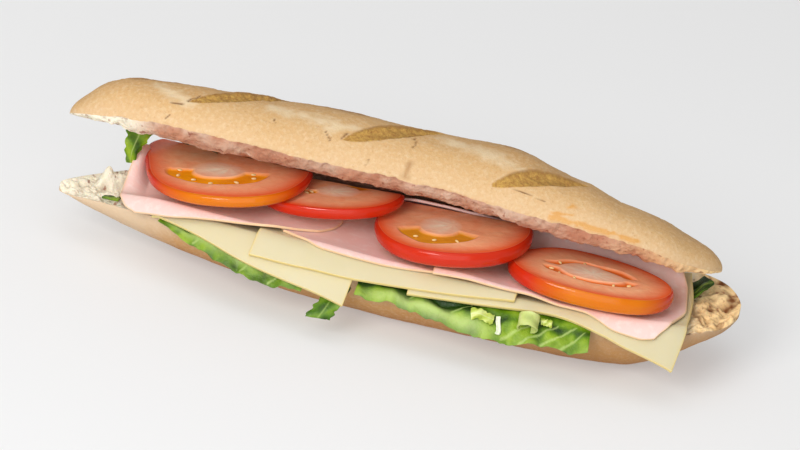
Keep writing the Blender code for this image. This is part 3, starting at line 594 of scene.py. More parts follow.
def shapeTop(t, s):
    x = -146.0 + 281.5 * np.where(t < 0.5, 0.5 * (2 * t) ** 1.25, 1 - 0.5 * (2 * (1 - t)) ** 1.25)
    width, crown, angle, hinge = topAt(x)
    share = topLoaf["crumbShare"]
    onCrumb = s < share
    skin = (~onCrumb).astype(float)
    side = np.where(onCrumb, -1 + 2 * (s / share) ** 0.8, 0.0)
    place = np.where(onCrumb, 0.0, (s - share) / (1 - share))
    turn = math.pi * place
    # the cut face: pressed by the filling, torn and lumpy where it hangs at the front
    dentRun = unit((x + 128) / 30) * unit((112 - x) / 30)
    dent = (1.2 - 1.0 * unit((-45 - x) / 15)) * dentRun * np.sin(math.pi * unit((side + 1) / 2) ** 0.75) ** 1.2
    hang = 0.6 + 0.4 * unit((-70 - x) / 15) + 0.3 * unit((x - 38) / 22)
    hang = hang * unit((x + 128) / 10) * unit((118 - x) / 26)
    dent = dent - topLoaf["hang"] * hang * np.sin(math.pi * unit((side + 0.2) / 1.2))
    dent = dent + 0.5 * waves(x, side * width, 15.0, 8) * (1 - side**4) - topLip(x, side, width)
    across = side * width
    pores = bubbles(x, across, 0 * x, 3.0)
    lumps = grain(x, across, 0 * x + 3, 6.5, 4)
    tufts = grain(x, across * 0.7, 0 * x + 40, 3.2, 3)
    nearFront = unit((side - 0.35) / 0.35)
    rimFade = unit((1 - np.abs(side)) * width / 1.0)
    rough = (0.8 * lumps + 0.8 * (pores - 0.6) + nearFront * (0.9 * tufts + 0.5 * lumps)) * rimFade
    # the crust
    relief, opened, ear = scoreMarks(x, place)
    small = np.minimum(1.0, crown / 12.0)
    crown = crown * (1 - 0.15 * unit((x - 74) / 14) * unit((130 - x) / 14))
    girth = place * crustGirth
    edgeFade = unit(np.minimum(place, 1 - place) * crustGirth / 3.0)
    wrinkle = (0.30 * grain(x, girth, 0 * x, 7.0, 4)
               + 0.10 * grain(x * 1.7, girth * 0.6, 0 * x + 8, 1.8, 2)) * edgeFade
    inCut = opened * (0.6 * grain(x * 0.5, place * 2 * crustGirth, 0 * x + 9, 3.0, 4)
                      + 0.4 * grain(x, girth, 0 * x + 19, 1.6, 2))
    wavy = 0.8 * grain(x, girth, 0 * x + 5, 2.5, 2)
    crack = np.zeros_like(x)
    for start, end, wide in topLoaf["cracks"]:
        crack = np.maximum(crack, nearLine(x + wavy, place, start, end, wide) * skin)
    blot = grain(x, girth, 0 * x + 21, 3.5, 3)
    sauce = markedLines(x, place, topLoaf["sauce"], skin, blot, 2.4, 0.6)
    toastAndShade = markedLines(x, place, topLoaf["toasted"], skin, blot, 1.1, 0.35) * 0.8
    pale = markedLines(x, place, topLoaf["floured"], skin, blot, 1.3, 0.4) * 0.75
    bulge = crown + (relief + wrinkle) * small + inCut - 0.6 * unit(crack * 2) + 0.3 * sauce
    out = np.where(onCrumb, hingeY + across,
                   hingeY + width * np.sign(np.cos(turn)) * np.abs(np.cos(turn)) ** 0.94)
    height = np.where(onCrumb, dent - rough * small, bulge * np.abs(np.sin(turn)) ** 0.9)
    y = hingeY - out * np.cos(angle) + height * np.sin(angle)
    z = hinge + gap + out * np.sin(angle) + height * np.cos(angle)
    flat = grain(x, y, z, 9.0, 3)
    # painted shade, darker towards the floor of each cut
    inCutDark = opened * unit(-relief / 3.0) * 0.25
    marks = {
        "high": unit(np.sin(turn)) * skin, "opened": opened * skin, "sauce": sauce, "toastAndShade": toastAndShade,
        # painted shade in the cracks and in the line under each cut's lifted lip
        "cutAndCrackShade": unit(np.maximum(np.maximum(crack, ear * 0.5), inCutDark)) * skin, "pale": pale,
        # pink mauve over the upper crumb face: partly sauce stain, partly painted shade and painted pink
        # reflection
        "tint": unit(unit((x + 122) / 16) * unit((128 - x) / 30) * (0.85 + 0.3 * flat)),
        # painted shade in the pore hollows
        "torn": unit((x - 70) / 30), "deep": unit(0.42 - pores) * 1.4 * onCrumb,
        "onCrumb": onCrumb.astype(float),
    }
    return (x, y, z), marks


def splitFaces(piece, markName, materials):
    # faces whose points are all marked take the second material
    mesh = piece.data
    values = np.empty(len(mesh.vertices))
    mesh.attributes[markName].data.foreach_get("value", values)
    for each in materials:
        mesh.materials.append(each)
    for face in mesh.polygons:
        if sum(values[v] for v in face.vertices) > 0.6 * len(face.vertices):
            face.material_index = 1


loafTop = roundForm("loafTop", topLoaf["around"], topLoaf["stations"], shapeTop)
splitFaces(loafTop, "onCrumb", [crust, crumb])
settle(loafTop, None, "baked_crust", "bread_top")

bottomLoaf = {"stations": 380, "around": 200, "crumbShare": 0.42,
              "lumps": [(-126, 7.5, 8, 2.8), (-120.5, 9, 6, 4.2), (-114, 11, 5.5, 5)]}


def shapeBottom(t, s):
    x = -144.5 + 291.0 * np.where(t < 0.5, 0.5 * (2 * t) ** 1.35, 1 - 0.5 * (2 * (1 - t)) ** 1.35)
    middle, width, cut, depth = bottomAt(x)
    share = bottomLoaf["crumbShare"]
    onCrumb = s < share
    side = np.where(onCrumb, 1 - 2 * s / share, 0.0)
    place = np.where(onCrumb, 0.0, (s - share) / (1 - share))
    turn = math.pi * place
    yCrumb = middle + width * side
    rim = 1 - side**4
    lumps = 0.0
    for lumpX, lumpY, height, wide in bottomLoaf["lumps"]:
        lumps = lumps + height * np.exp(-((x - lumpX) ** 2 + (yCrumb - lumpY) ** 2) / wide**2)
    rightEnd = unit((x - 122) / 8)
    leftEnd = unit((-112 - x) / 8)
    torn = rightEnd * 1.3 * waves(x, yCrumb, 13.0, 5)
    pores = bubbles(x, yCrumb, 0 * x, 4.2)
    chunks = grain(x, yCrumb, 0 * x, 7.0, 4)
    show = np.maximum(rightEnd, leftEnd)
    tufts = grain(x, yCrumb, 0 * x + 23, 2.6, 3)
    amount = 0.25 + show * (0.55 + 0.9 * unit((8 - yCrumb) / 8))
    chunks = chunks + rightEnd * 1.1 * unit((10 - yCrumb) / 8) * grain(x, yCrumb, 0 * x + 44, 9.0, 2)
    rough = amount * (chunks + pores - 0.65 + 0.5 * tufts) * unit((1 - np.abs(side)) * width / 1.2)
    crackLine = unit(1 - np.abs(x - (127.5 + 0.35 * (-6 - yCrumb)))
        / 1.1) * (yCrumb > -20) * (yCrumb < 12) * rightEnd
    zCrumb = dishAt(x, yCrumb) + (lumps + torn) * rim + rough - 1.6 * crackLine * rim
    front, back = dishAt(x, middle - width), dishAt(x, middle + width)
    edge = front * (1 + np.cos(turn)) / 2 + back * (1 - np.cos(turn)) / 2
    wrinkle = 0.2 * grain(x, place * 90, 0 * x + 31, 5.0, 4) * unit(np.sin(turn) * 4)
    zCrust = np.maximum(edge - (depth - (cut - edge)) * np.abs(np.sin(turn)) ** 0.92 + wrinkle, 0.0)
    y = np.where(onCrumb, yCrumb, middle - width * np.cos(turn))
    z = np.where(onCrumb, zCrumb, zCrust)
    marks = {
        # darker towards the underside, partly painted shade
        "high": unit(np.sin(turn)) * ~onCrumb, "opened": 0 * x, "sauce": 0 * x,
        # darker towards the right end: painted shade
        "cutAndCrackShade": 0 * x, "toastAndShade": np.clip((x - 60) / 60, 0, 0.35) * ~onCrumb,
        # paler at the left end: partly flour, partly painted light
        "pale": np.clip((-90 - x) / 25, 0, 0.75) * ~onCrumb,
        "tint": 0 * x, "torn": rightEnd,
        # painted shade in the pore hollows, the hollows of the torn right end and its crack
        "deep": unit((0.45 - pores) * 1.4 + rightEnd * 1.6 * unit(-chunks - 0.25)) * onCrumb + 0.8 * crackLine,
        "onCrumb": onCrumb.astype(float),
    }
    return (x, y, z), marks


loafBottom = roundForm("loafBottom", bottomLoaf["around"], bottomLoaf["stations"], shapeBottom)
splitFaces(loafBottom, "onCrumb", [bottomCrust, crumb])
settle(loafBottom, None, "baked_crust", "bread_bottom")
print("loaf made")


slices = {
    "cheese_a": dict(
        front=[(-100.4, -20.5), (-61.7, -38.5), (-42.8, -44.3), (-25.6, -48.1), (-17.6, -49.9)],
        back=[(-100, 18), (-14, 8)], left=[(0, -103), (1, -96)],
        right=[(0, -17.6), (0.4, -13), (1, -9)],
        lift=[(-100, 2.4), (-60, 4), (-35, 4), (-14, 3)], thick=1.8, droop=1),
    "cheese_c": dict(
        front=[(7.6, -42.5), (35.3, -42.2), (67.6, -41.1), (90.7, -44.5), (102.1, -46.8), (121.4, -48.6)],
        back=[(8, 24), (124, 20)], left=[(0, 7.6), (1, 11)],
        right=[(0, 121.4), (0.25, 124.7), (0.7, 126.6), (1, 124.5)],
        lift=[(8, 2.8), (60, 3), (124, 2.2)], thick=1.8, droop=1),
    "cheese_b": dict(
        front=[(-60.1, -38.1), (-38.2, -41.3), (-13, -42.4), (20.2, -42.3), (52.1, -40.6)],
        back=[(-60, 22), (54, 22)], left=[(0, -60), (0.4, -55.4), (1, -51)],
        right=[(0, 52.1), (0.3, 54.2), (1, 58)],
        lift=[(-62, 6.5), (-35, 6.4), (-14, 5.4), (0, 5.2), (54, 5.4)], thick=1.8, droop=0.95),
    "ham_b": dict(
        front=[(-47.5, -24.3), (-30.2, -34.6), (1.3, -36.8), (15.5, -35.7), (30, -31)],
        back=[(-50, 20), (-20, 18), (0, 13), (30, 12)],
        left=[(0, -48), (0.3, -51), (1, -44)], right=[(0, 20), (0.2, 29), (0.6, 31), (1, 24)],
        lift=[(-50, 8.5), (-35, 8.5), (-14, 7.8), (0, 7.5), (24, 7.6)], thick=1.1, droop=0.85),
    "ham_a": dict(
        front=[(-110.5, -21.6), (-93.2, -25.5), (-61.7, -27.5), (-33.6, -17), (-25, -10)],
        back=[(-110, 21.5), (-30, 20)],
        left=[(0, -110.5), (0.1, -115.5), (0.27, -118.4), (0.6, -117.4), (0.85, -115), (1, -112)],
        right=[(0, -33.6), (0.1, -27), (0.3, -24.6), (1, -27)],
        lift=[(-118, 5), (-100, 7), (-62, 8.6), (-50, 10), (-20, 9.6)], thick=1.1, droop=0.8,
        rise=((-108, -115), (-8, 17), 10.5)),
    "ham_c": dict(
        front=[(16.4, -38.2), (56.3, -38.2), (79.8, -38.7), (95.8, -44), (105, -44.5), (114.7, -41.7)],
        back=[(16, 12), (40, 19), (80, 23), (120, 17)], left=[(0, 16.4), (1, 19)],
        right=[(0, 112), (0.1, 117), (0.25, 120.5), (0.45, 123.9), (0.8, 123.5), (1, 119)],
        lift=[(14, 9.3), (30, 9.2), (45, 8), (56, 7.7), (72, 5.5), (124, 4.7)], thick=1.1, droop=0.85,
        rise=((46, 62), (6, 22), 7.5)),
}
pressed = {
    "ham_back": dict(
        front=[(-38, 18), (-14, 16), (-4, 14), (6, 9), (24, 8), (46, 12)],
        back=[(-38, 28), (46, 29)], left=[(0, -36), (1, -38)],
        right=[(0, 47), (0.3, 50), (1, 47)], thick=1.1),
    "lettuce_back": dict(
        front=[(-101, 14), (-92, 11), (-82, 12.5)], back=[(-101, 19.5), (-82, 17.5)],
        left=[(0, -99.5), (1, -101)], right=[(0, -83), (1, -82)], thick=0.8),
}
tomatoes = {
    "tomato_1": dict(x=-75.5, front=(-28, 44.9), half=(35, 33), thick=5.3, pitch=1, roll=9.5, under=0.7,
                     corner=(141, 0.30), heart=(-0.13, -0.11, 0.29, 0.21), ring=2.2, pockets=[(-192, -2)],
                     orange=(-88, 62), jelly=("#FFB414", "#F08408"),
                     seeds=[(-176, 0.6), (-150, 0.85), (-122, 0.75), (-96, 0.9), (-62, 0.8), (-30, 0.75),
                     (-12, 0.5)]),
    "tomato_2": dict(x=-32, front=(-20, 46.1), half=(31, 20.5), thick=5.4, pitch=3, roll=9.2, under=2,
                     corner=(90, 0), heart=(0.10, 0.02, 0.28, 0.30), ring=1.75,
                     pockets=[(-196, -150), (18, 74)],
                     orange=(-200, 20), jelly=("#F4AA2A", "#E06A20"),
                     seeds=[(-186, 0.8), (-172, 0.5), (-164, 0.9)]),
    "tomato_3": dict(x=21, front=(-41, 46.6), half=(33.5, 35), thick=7.2, pitch=4, roll=7, under=2.2,
                     corner=(90, 0), heart=(-0.15, -0.08, 0.24, 0.26), ring=2.35, pockets=[(-166, -22)],
                     orange=(-200, 10), jelly=("#F0A81E", "#CC7E1C"),
                     seeds=[(-128, 0.8), (-96, 0.7), (-60, 0.85)]),
    "tomato_4": dict(x=82.2, front=(-43, 42.7), half=(35.5, 24), thick=7.3, pitch=5, roll=-0.8, under=0.6,
                     corner=(112, 0.12), heart=(-0.02, 0.04, 0.38, 0.30), ring=1.55,
                     pockets=[(-176, -6), (12, 168)],
                     orange=(-78, 60), jelly=("#F08432", "#D85A22"),
                     seeds=[(-160, 0.7), (-136, 0.85), (-112, 0.75), (-58, 0.8), (-30, 0.85), (100, 0.8),
                     (142, 0.6)]),
}


def planPlace(form, u, v, crowd):
    place = v**crowd
    left, right = reading(form["left"], place), reading(form["right"], place)
    x = left + (right - left) * u
    front, back = reading(form["front"], x), reading(form["back"], x)
    return x, front + (back - front) * place, place


def tomatoFace(form, x, y):
    back = (y - form["front"][0]) * math.tan(math.radians(form["pitch"]))
    return form["front"][1] - back + (x - form["x"]) * math.tan(math.radians(form["roll"]))


def rimMark(u, v, length, depth, reach):
    # 1 on the very edge of a sheet, 0 from reach millimetres inside it
    near = np.minimum(np.minimum(u, 1 - u) * length, np.minimum(v, 1 - v) * depth)
    return unit(1 - near / reach)


def laySlice(name, material):
    form = slices[name]
    isHam = name.startswith("ham")

    def shape(u, v):
        x, y, _ = planPlace(form, u, v, 1.3)
        z = restAt(x, y, form["droop"]) + reading(form["lift"], x)
        if "rise" in form:
            (x0, x1), (y0, y1), height = form["rise"]
            runs = [unit((x - x0) / (x1 - x0)), unit((y - y0) / (y1 - y0))]
            z = z + height * runs[0] ** 2 * (3 - 2 * runs[0]) * runs[1] ** 2 * (3 - 2 * runs[1])
            z = np.minimum(z, crumbAbove(x, y) - 0.7 - form["thick"])
            if x0 > 0:
                under = tomatoFace(tomatoes["tomato_3"], x, y) - tomatoes["tomato_3"]["thick"] - 1.6
                z = np.where(x < 56.0, np.minimum(z, np.maximum(under, 33.0)), z)
        z = z + (0.16 if isHam else 0.06) * grain(x, y, 0 * x + (7 if isHam else 3), 13.0, 2)
        return (x, y, z), {"edge": rimMark(u, v, 100.0, 55.0, 0.9)}

    piece = thinForm(name.replace("_", " ").title().replace(" ", ""), 150, 84, shape, form["thick"], 0.35)
    settle(piece, material, "cooked_ham" if isHam else "mild_cheese", name)


for sliceName in slices:
    laySlice(sliceName, ham if sliceName.startswith("ham") else cheese)


def shapeBackHam(u, v):
    form = pressed["ham_back"]
    x, y, _ = planPlace(form, u, v, 1.0)
    y = y + 0.8 * grain(x, 0 * x, 0 * x + 6, 14.0, 2) * (1 - v)
    z = crumbAbove(x, y) - 0.8 - form["thick"] - 0.9 * unit(1 - v * 4) ** 2
    return (x, y, z), {"edge": 0 * x}


backHam = thinForm("HamBack", 110, 40, shapeBackHam, 1.1, 0.35)
settle(backHam, ham, "cooked_ham", "ham_back")
print("cheese and ham laid")


def makeSlice(name):
    form = tomatoes[name]
    halfX, halfY = form["half"]
    pitch, roll = math.radians(form["pitch"]), math.radians(form["roll"])
    middleY = form["front"][0] + halfY * math.cos(pitch)
    middleZ = form["front"][1] - halfY * math.sin(pitch)
    profile = [(0, 0, 0), (0.80, 0.955, 0), (0.84, 0.975, -0.05), (0.87, 0.988, -0.14), (0.90, 1, -0.4),
               (0.93, 0.99, -0.72), (0.955, 0.955, -0.93), (0.97, 0.90, -1), (1, 0, -1)]
    heartX, heartY, heartA, heartB = form["heart"]

    def pocketMark(px, py):
        # inside a seed pocket: between the heart and the ring round it, in the turns that are hollow
        dx, dy = (px - heartX) / heartA, (py - heartY) / heartB
        far = np.hypot(dx, dy)
        turn = np.degrees(np.arctan2(dy, dx))
        wob = 0.15 * grain(px * 9, py * 9, 0 * px + halfX, 3.6, 3)
        ring = unit((far - 1.0 + wob) / 0.16) * unit((form["ring"] - far + wob) / 0.16)
        hollow = np.zeros_like(px)
        for low, high in form["pockets"]:
            hollow = np.maximum(hollow, unit((turn - low) / 9) * unit((high - turn) / 9))
        return ring * hollow, far

    def placed(lx, ly, lz):
        tippedY = ly * math.cos(pitch) + lz * math.sin(pitch)
        tippedZ = lz * math.cos(pitch) - ly * math.sin(pitch)
        x = form["x"] + lx * math.cos(roll) - tippedZ * math.sin(roll)
        return x, middleY + tippedY, middleZ + lx * math.sin(roll) + tippedZ * math.cos(roll)

    def shape(t, s):
        reach, depth = smoothLine(profile, t)
        turn = 2 * math.pi * s
        wobble = 1 + 0.012 * np.sin(3 * turn + halfX) + 0.008 * np.sin(5 * turn)
        wobble = wobble + form["corner"][1] * np.exp(-(((np.degrees(turn) - form["corner"][0]) / 23) ** 2))
        px, py = reach * np.cos(turn), reach * np.sin(turn)
        pocket, far = pocketMark(px, py)
        onFace = t < 0.80
        pocket = pocket * onFace
        sunk = -0.9 * pocket + 0.10 * grain(px * halfX, py * halfY, 0 * px, 5.0, 3) * onFace
        lz = depth * form["thick"] + sunk * (reach < 0.93)
        degree = np.degrees(np.arctan2(py, px))
        middle, wide = form["orange"]
        apart = np.abs((degree - middle + 180) % 360 - 180)
        ripe = unit((apart / max(wide, 1) - 0.4) / 0.6) if wide > 0 else np.ones_like(px)
        streak = 0.5 + 0.5 * np.sin(turn * 9 + 3 * reach)
        marks = {
            "skin": unit((t - 0.79) / 0.012) * unit((0.965 - t) / 0.01), "ripe": ripe, "jelly": pocket,
            "heart": unit(1.15 - far) ** 0.7 * onFace * (0.7 + 0.3 * streak),
            "outer": unit((reach - 0.64) / 0.30) ** 1.3 * onFace,
        }
        return placed(px * halfX * wobble, py * halfY * wobble, lz), marks

    piece = roundForm(name.replace("tomato_", "TomatoSlice"), 200, 120, shape)
    # pressed flat by the loaf above it
    left, right = form["x"] - halfX * 0.8, form["x"] + halfX * 0.8
    hinge = Vector((left, hingeY, float(crumbAbove(left, hingeY))))
    edges = [Vector((x, 0.0, float(crumbAbove(x, 0.0)))) for x in (left, right)]
    normal = (edges[1] - edges[0]).cross(hinge - edges[0]).normalized()
    point = (edges[0] + Vector(moveBy)) * mm - normal * form["under"] * mm
    bpy.ops.object.mode_set(mode="EDIT")
    bpy.ops.mesh.select_all(action="SELECT")
    bpy.ops.mesh.bisect(plane_co=point, plane_no=normal, use_fill=True, clear_outer=True)
    bpy.ops.object.mode_set(mode="OBJECT")
    look = {"wall": "#FFCCA0", "wallDark": "#FA9868", "outer": "#E65A2A", "heart": "#FFF2DA",
            "skinRed": "#C42A0C", "skinOrange": "#D27000"}
    look["jelly"], look["jellyDark"] = form["jelly"]
    piece.data.materials.append(makeTomato(name.replace("tomato_", "ripeTomato"), look))
    piece.data.materials.append(seedCoat)
    # seeds lie in the jelly, pointing at the heart
    for degree, out in form["seeds"]:
        turn = math.radians(degree)
        far = 1 + (form["ring"] - 1) * out * 0.85
        px, py = heartX + heartA * far * math.cos(turn), heartY + heartB * far * math.sin(turn)
        centre = (Vector(placed(px * halfX, py * halfY, -0.35)) + Vector(moveBy)) * mm
        if (centre - point).dot(normal) > -0.002:
            continue
        clearSelection()
        bpy.ops.mesh.primitive_uv_sphere_add(segments=12, ring_count=8, radius=1.0, location=centre)
        seed = bpy.context.object
        direction = math.atan2(heartB * halfY * math.sin(turn), heartA * halfX * math.cos(turn))
        seed.scale = (0.00115, 0.0006 + 0.00012 * math.cos(degree), 0.00045)
        seed.rotation_euler = (0.0, 0.0, direction + 0.9 * math.sin(degree))
        bpy.ops.object.transform_apply(location=True, rotation=True, scale=True)
        bpy.ops.object.shade_smooth()
        seed.data.materials.append(seedCoat)
        piece.select_set(True)
        bpy.context.view_layer.objects.active = piece
        bpy.ops.object.join()
    settle(piece, None, "ripe_tomato", name)


seedCoat, seedTree, seedShader = startMaterial("paleTomatoSeed")
# tomato seed: pale straw coat under clear jelly, so it reads as a bright wet fleck
setShader(seedShader, rough=0.2)
seedFuzz = addNode(seedTree, "ShaderNodeTexNoise", {"Scale": 1000 / 0.4})
seedTone = blend(seedTree, seedFuzz.outputs["Fac"], "#E3B860", "#F8E7B4")
seedTree.links.new(seedTone, seedShader.inputs["Base Color"])
for tomatoName in tomatoes:
    makeSlice(tomatoName)
print("tomato laid")


leafLook = {"deep": "#1E3C02", "leaf": "#5C8004", "light": "#8CA824", "rib": "#B8CC78", "pale": "#E4ECC8"}
leafGreen = makeLeaf("crispLettuceLeaf", leafLook)
# a darker copy of the leaf: painted shade for leaves that lie in shadow
leafShade = makeLeaf("shadedLettuceLeaf", {"deep": "#1C3404", "leaf": "#446A08", "light": "#76962A",
    "rib": "#A0B85C", "pale": "#D0D8A8"})
leafPale = makeLeaf("paleLettuceHeart", {"deep": "#90A22C", "leaf": "#B6C456", "light": "#D4DC8C",
    "rib": "#DEE8BC", "pale": "#ECF0DC"})

leaves = {
    "lettuce_left": dict(
        front=[(-100.4, -20), (-85.3, -28.9), (-68, -36.5), (-53.8, -41.2), (-35.7, -43.7)],
        back=[(-100, -14), (-40, -20)], left=[(0, -100.4), (1, -97)], right=[(0, -35.7), (1, -31)],
        lift=[(-105, 0.5), (-60, 0.9), (-25, 0.7)], thick=0.8, droop=1.25, ruffle=(1, 11)),
    "lettuce_centre": dict(
        front=[(-13.9, -42.8), (1.3, -44), (16.8, -46.2), (32.8, -48.5), (48.3, -50.1), (64.3, -49.1),
        (86.1, -49.1)],
        back=[(-14, -22), (86, -24)], left=[(0, -13.9), (1, -11)], right=[(0, 86.1), (1, 84)],
        lift=[(-14, 1), (90, 1)], thick=0.8, droop=1.3, ruffle=(1, 14)),
    "lettuce_sliver": dict(
        front=[(91.5, -42.3), (99, -43.9)], back=[(91.5, -37.5), (99, -38.5)],
        left=[(0, 92.2), (1, 91.5)], right=[(0, 98.2), (1, 99)],
        lift=[(91, 0.4), (99, 0.4)], thick=0.8, droop=1.15, ruffle=(0.2, 9)),
    "lettuce_end_right": dict(
        front=[(117, 4), (134, 6)], back=[(117, 17), (128, 17.5), (134, 14)],
        left=[(0, 117), (1, 117.5)], right=[(0, 131.5), (0.4, 134), (1, 130)],
        lift=[(117, 0.3), (125, 0.4), (127.5, 1.2), (130.5, 4.4), (134, 5.8)], thick=0.8, droop=1,
        ruffle=(0.5, 9)),
    "lettuce_scrap": dict(
        front=[(-126, -4.4), (-118, -4.9)], back=[(-126, -2.2), (-118, 0.4)],
        left=[(0, -126), (1, -125)], right=[(0, -119), (1, -118)],
        lift=[(-126, 0.3), (-118, 0.6)], thick=0.8, droop=1, ruffle=(0.2, 6)),
}
strips = {
    "lettuce_drop": dict(
        path=[(-19.5, -38.5, 21.8), (-21.5, -43, 19.6), (-23.5, -47.5, 16.5), (-25.4, -50, 13.2),
        (-26.8, -50.9, 10.6)],
        half=[(4, 0, 0.4), (5.6, -0.6, 0.6)], thick=0.8),
    "lettuce_end_left": dict(
        path=[(-117.4, 8.5, 35.6), (-117.6, 9.2, 40), (-116.8, 9.9, 44.4), (-115.9, 10.4, 48.3),
        (-115.5, 10.8, 52.2)],
        half=[(1.6, 0.3, 0), (6.6, -0.5, 0.6)], thick=0.8),
    "lettuce_frill_a": dict(
        path=[(35.4, -44.9, 1.4), (38, -45.3, 2.2), (40.6, -44.8, 1.5), (43, -45.1, 2.2), (45, -44.6, 1.6)],
        half=[(0.3, -1.6, -1.7), (-0.2, -1.5, -1.6)], thick=0.8),
    "lettuce_frill_b": dict(
        path=[(64.6, -43.8, 2.3), (66.2, -44.4, 3), (67.6, -43.9, 2.4), (69.2, -44.3, 2.9)],
        half=[(0, -0.9, -1), (0, -1, -1.2)], thick=0.8),
    "lettuce_shred": dict(
        path=[(46.8, -43.5, 1.7), (47, -44.8, 1.6), (47.7, -46.6, 1.5), (48, -48.2, 1.5), (47.5, -49.3, 1.6)],
        half=[(1, 0, 0.2), (1.1, 0, -0.2)], thick=0.9),
}
onLeaf = ("lettuce_frill_a", "lettuce_frill_b", "lettuce_shred")
rollForm = dict(middle=(59.4, -47.4, 26.4), radius=4.0, half=3.2, slope=40.0, turns=(-65.0, 215.0), thick=0.9)


def leafAt(form, x, y):
    height, length = form["ruffle"]
    middle, width, _, _ = bottomAt(x)
    outside = unit(((middle - width) - y) / 8.0)
    ripple = height * (0.4 + 0.8 * outside) * waves(x, y, length, 12)
    lift = reading(form["lift"], x)
    return restAt(x, y, form["droop"]) + lift + np.maximum(ripple, -lift), outside


# grooves run along a leaf: x from and to, place of the groove from the free edge, width, depth
leafFolds = {
    "lettuce_centre": dict(
        edgeRib=(-14, 50, 0.10), grooves=[(-4, 46, 0.30, 0.10, 1.6), (20, 62, 0.46, 0.08, 1.2)],
        veins=[((50, -49), (66, -41), 0.35), ((58, -49.5), (72, -42), 0.35), ((66, -49), (80, -42), 0.35),
               ((74, -49), (84, -43), 0.3), ((4, -43), (18, -38), 0.3), ((22, -46), (36, -40), 0.3)]),
    "lettuce_left": dict(
        edgeRib=(-98, -38, 0.20), grooves=[(-92, -52, 0.30, 0.14, 1.3), (-66, -38, 0.52, 0.14, 1.3)],
        veins=[((-84, -29), (-74, -25), 0.3), ((-62, -38), (-54, -33), 0.3), ((-50, -41), (-42, -37), 0.3)]),
    "lettuce_end_right": dict(
        edgeRib=(0, 0, 0), grooves=[(118, 132, 0.55, 0.16, 0.8)], veins=[((118, 8), (133, 9.5), 0.5)]),
}


def layLeaf(name, material):
    form = leaves[name]
    big = name in ("lettuce_left", "lettuce_centre")
    folds = leafFolds.get(name, dict(edgeRib=(0, 0, 0), grooves=[], veins=[]))

    def shape(u, v):
        x, y, place = planPlace(form, u, v, 1.1)
        z, outside = leafAt(form, x, y)
        loose = outside if big else 0.3
        crinkle = grain(x, y, 0 * x + 13, 6.0, 3)
        pucker = grain(x * 0.7, y * 1.5, 0 * x + 33, 3.0, 2)
        frill = unit(1 - place / 0.16) * (1.0 if big else 0.3)
        z = z + (0.55 * crinkle + 0.25 * pucker) * loose + 0.2 * frill * np.sin(x * 1.1 + 3 * crinkle)
        y = y + 0.3 * frill * np.sin(x * 0.45 + 4 * crinkle)
        # painted light on the raised crinkles and puckers, painted shade towards the back under the cheese
        light = 0.55 + 0.35 * crinkle + 0.22 * pucker - 0.45 * unit((place - 0.5) / 0.2)
        for start, end, at, wide, deep in folds["grooves"]:
            run = unit((x - start) / (end - start))
            line = at + 0.04 * np.sin(x * 0.21)
            near = np.exp(-(((place - line) / (wide * 0.6)) ** 2)) * np.sin(math.pi * run) ** 0.5
            z = z - deep * near
            # painted shade in each groove
            light = light - 0.75 * near
        start, end, at = folds["edgeRib"]
        rib = 0 * x
        if end > start:
            run = unit((x - start) / (end - start))
            rib = np.exp(-(((place - at) / 0.075) ** 2)) * np.sin(math.pi * run) ** 0.6
            z = z + 0.9 * rib
            # painted shade in the groove beside the rib
            light = light - 0.5 * np.exp(-(((place - at - 0.14) / 0.05) ** 2))
        vein = 0.8 * rib
        for start, end, wide in folds["veins"]:
            px, py = x + 0.8 * crinkle - start[0], y - start[1]
            away, t = offLine(px, py, end[0] - start[0], end[1] - start[1])
            vein = np.maximum(vein, 0.55 * unit(1.6 - away / (wide * (1.2 - 0.6 * t))))
        return (x, y, z), {"vein": vein, "pale": 0.04 * frill, "paintedLightLevel": unit(light)}

    cells = (180, 64) if big else (44, 26)
    piece = thinForm(name.replace("lettuce_", "Lettuce").title(), *cells, shape, 0.45 if big else form["thick"],
        0.1)
    settle(piece, material, "crisp_lettuce", name)


layLeaf("lettuce_centre", leafGreen)
layLeaf("lettuce_left", leafGreen)
layLeaf("lettuce_sliver", leafGreen)
# painted shade: the leaf between the two halves of the loaf takes the darker copy
layLeaf("lettuce_end_right", leafShade)
layLeaf("lettuce_scrap", leafGreen)


def shapeBackLeaf(u, v):
    form = pressed["lettuce_back"]
    x, y, _ = planPlace(form, u, v, 1.0)
    z = crumbAbove(x, y) - 0.7 - form["thick"] - 0.2 * (1 + np.sin(x * 0.9))
    # painted shade: the leaf behind the first tomato slice is held at a dark level
    return (x, y, z), {"vein": 0 * x, "pale": 0 * x, "paintedLightLevel": 0.2 + 0 * x}


# painted shade: this leaf takes the darker copy
backLeaf = thinForm("LettuceBack", 40, 16, shapeBackLeaf, 0.8, 0.1)
settle(backLeaf, leafShade, "crisp_lettuce", "lettuce_back")


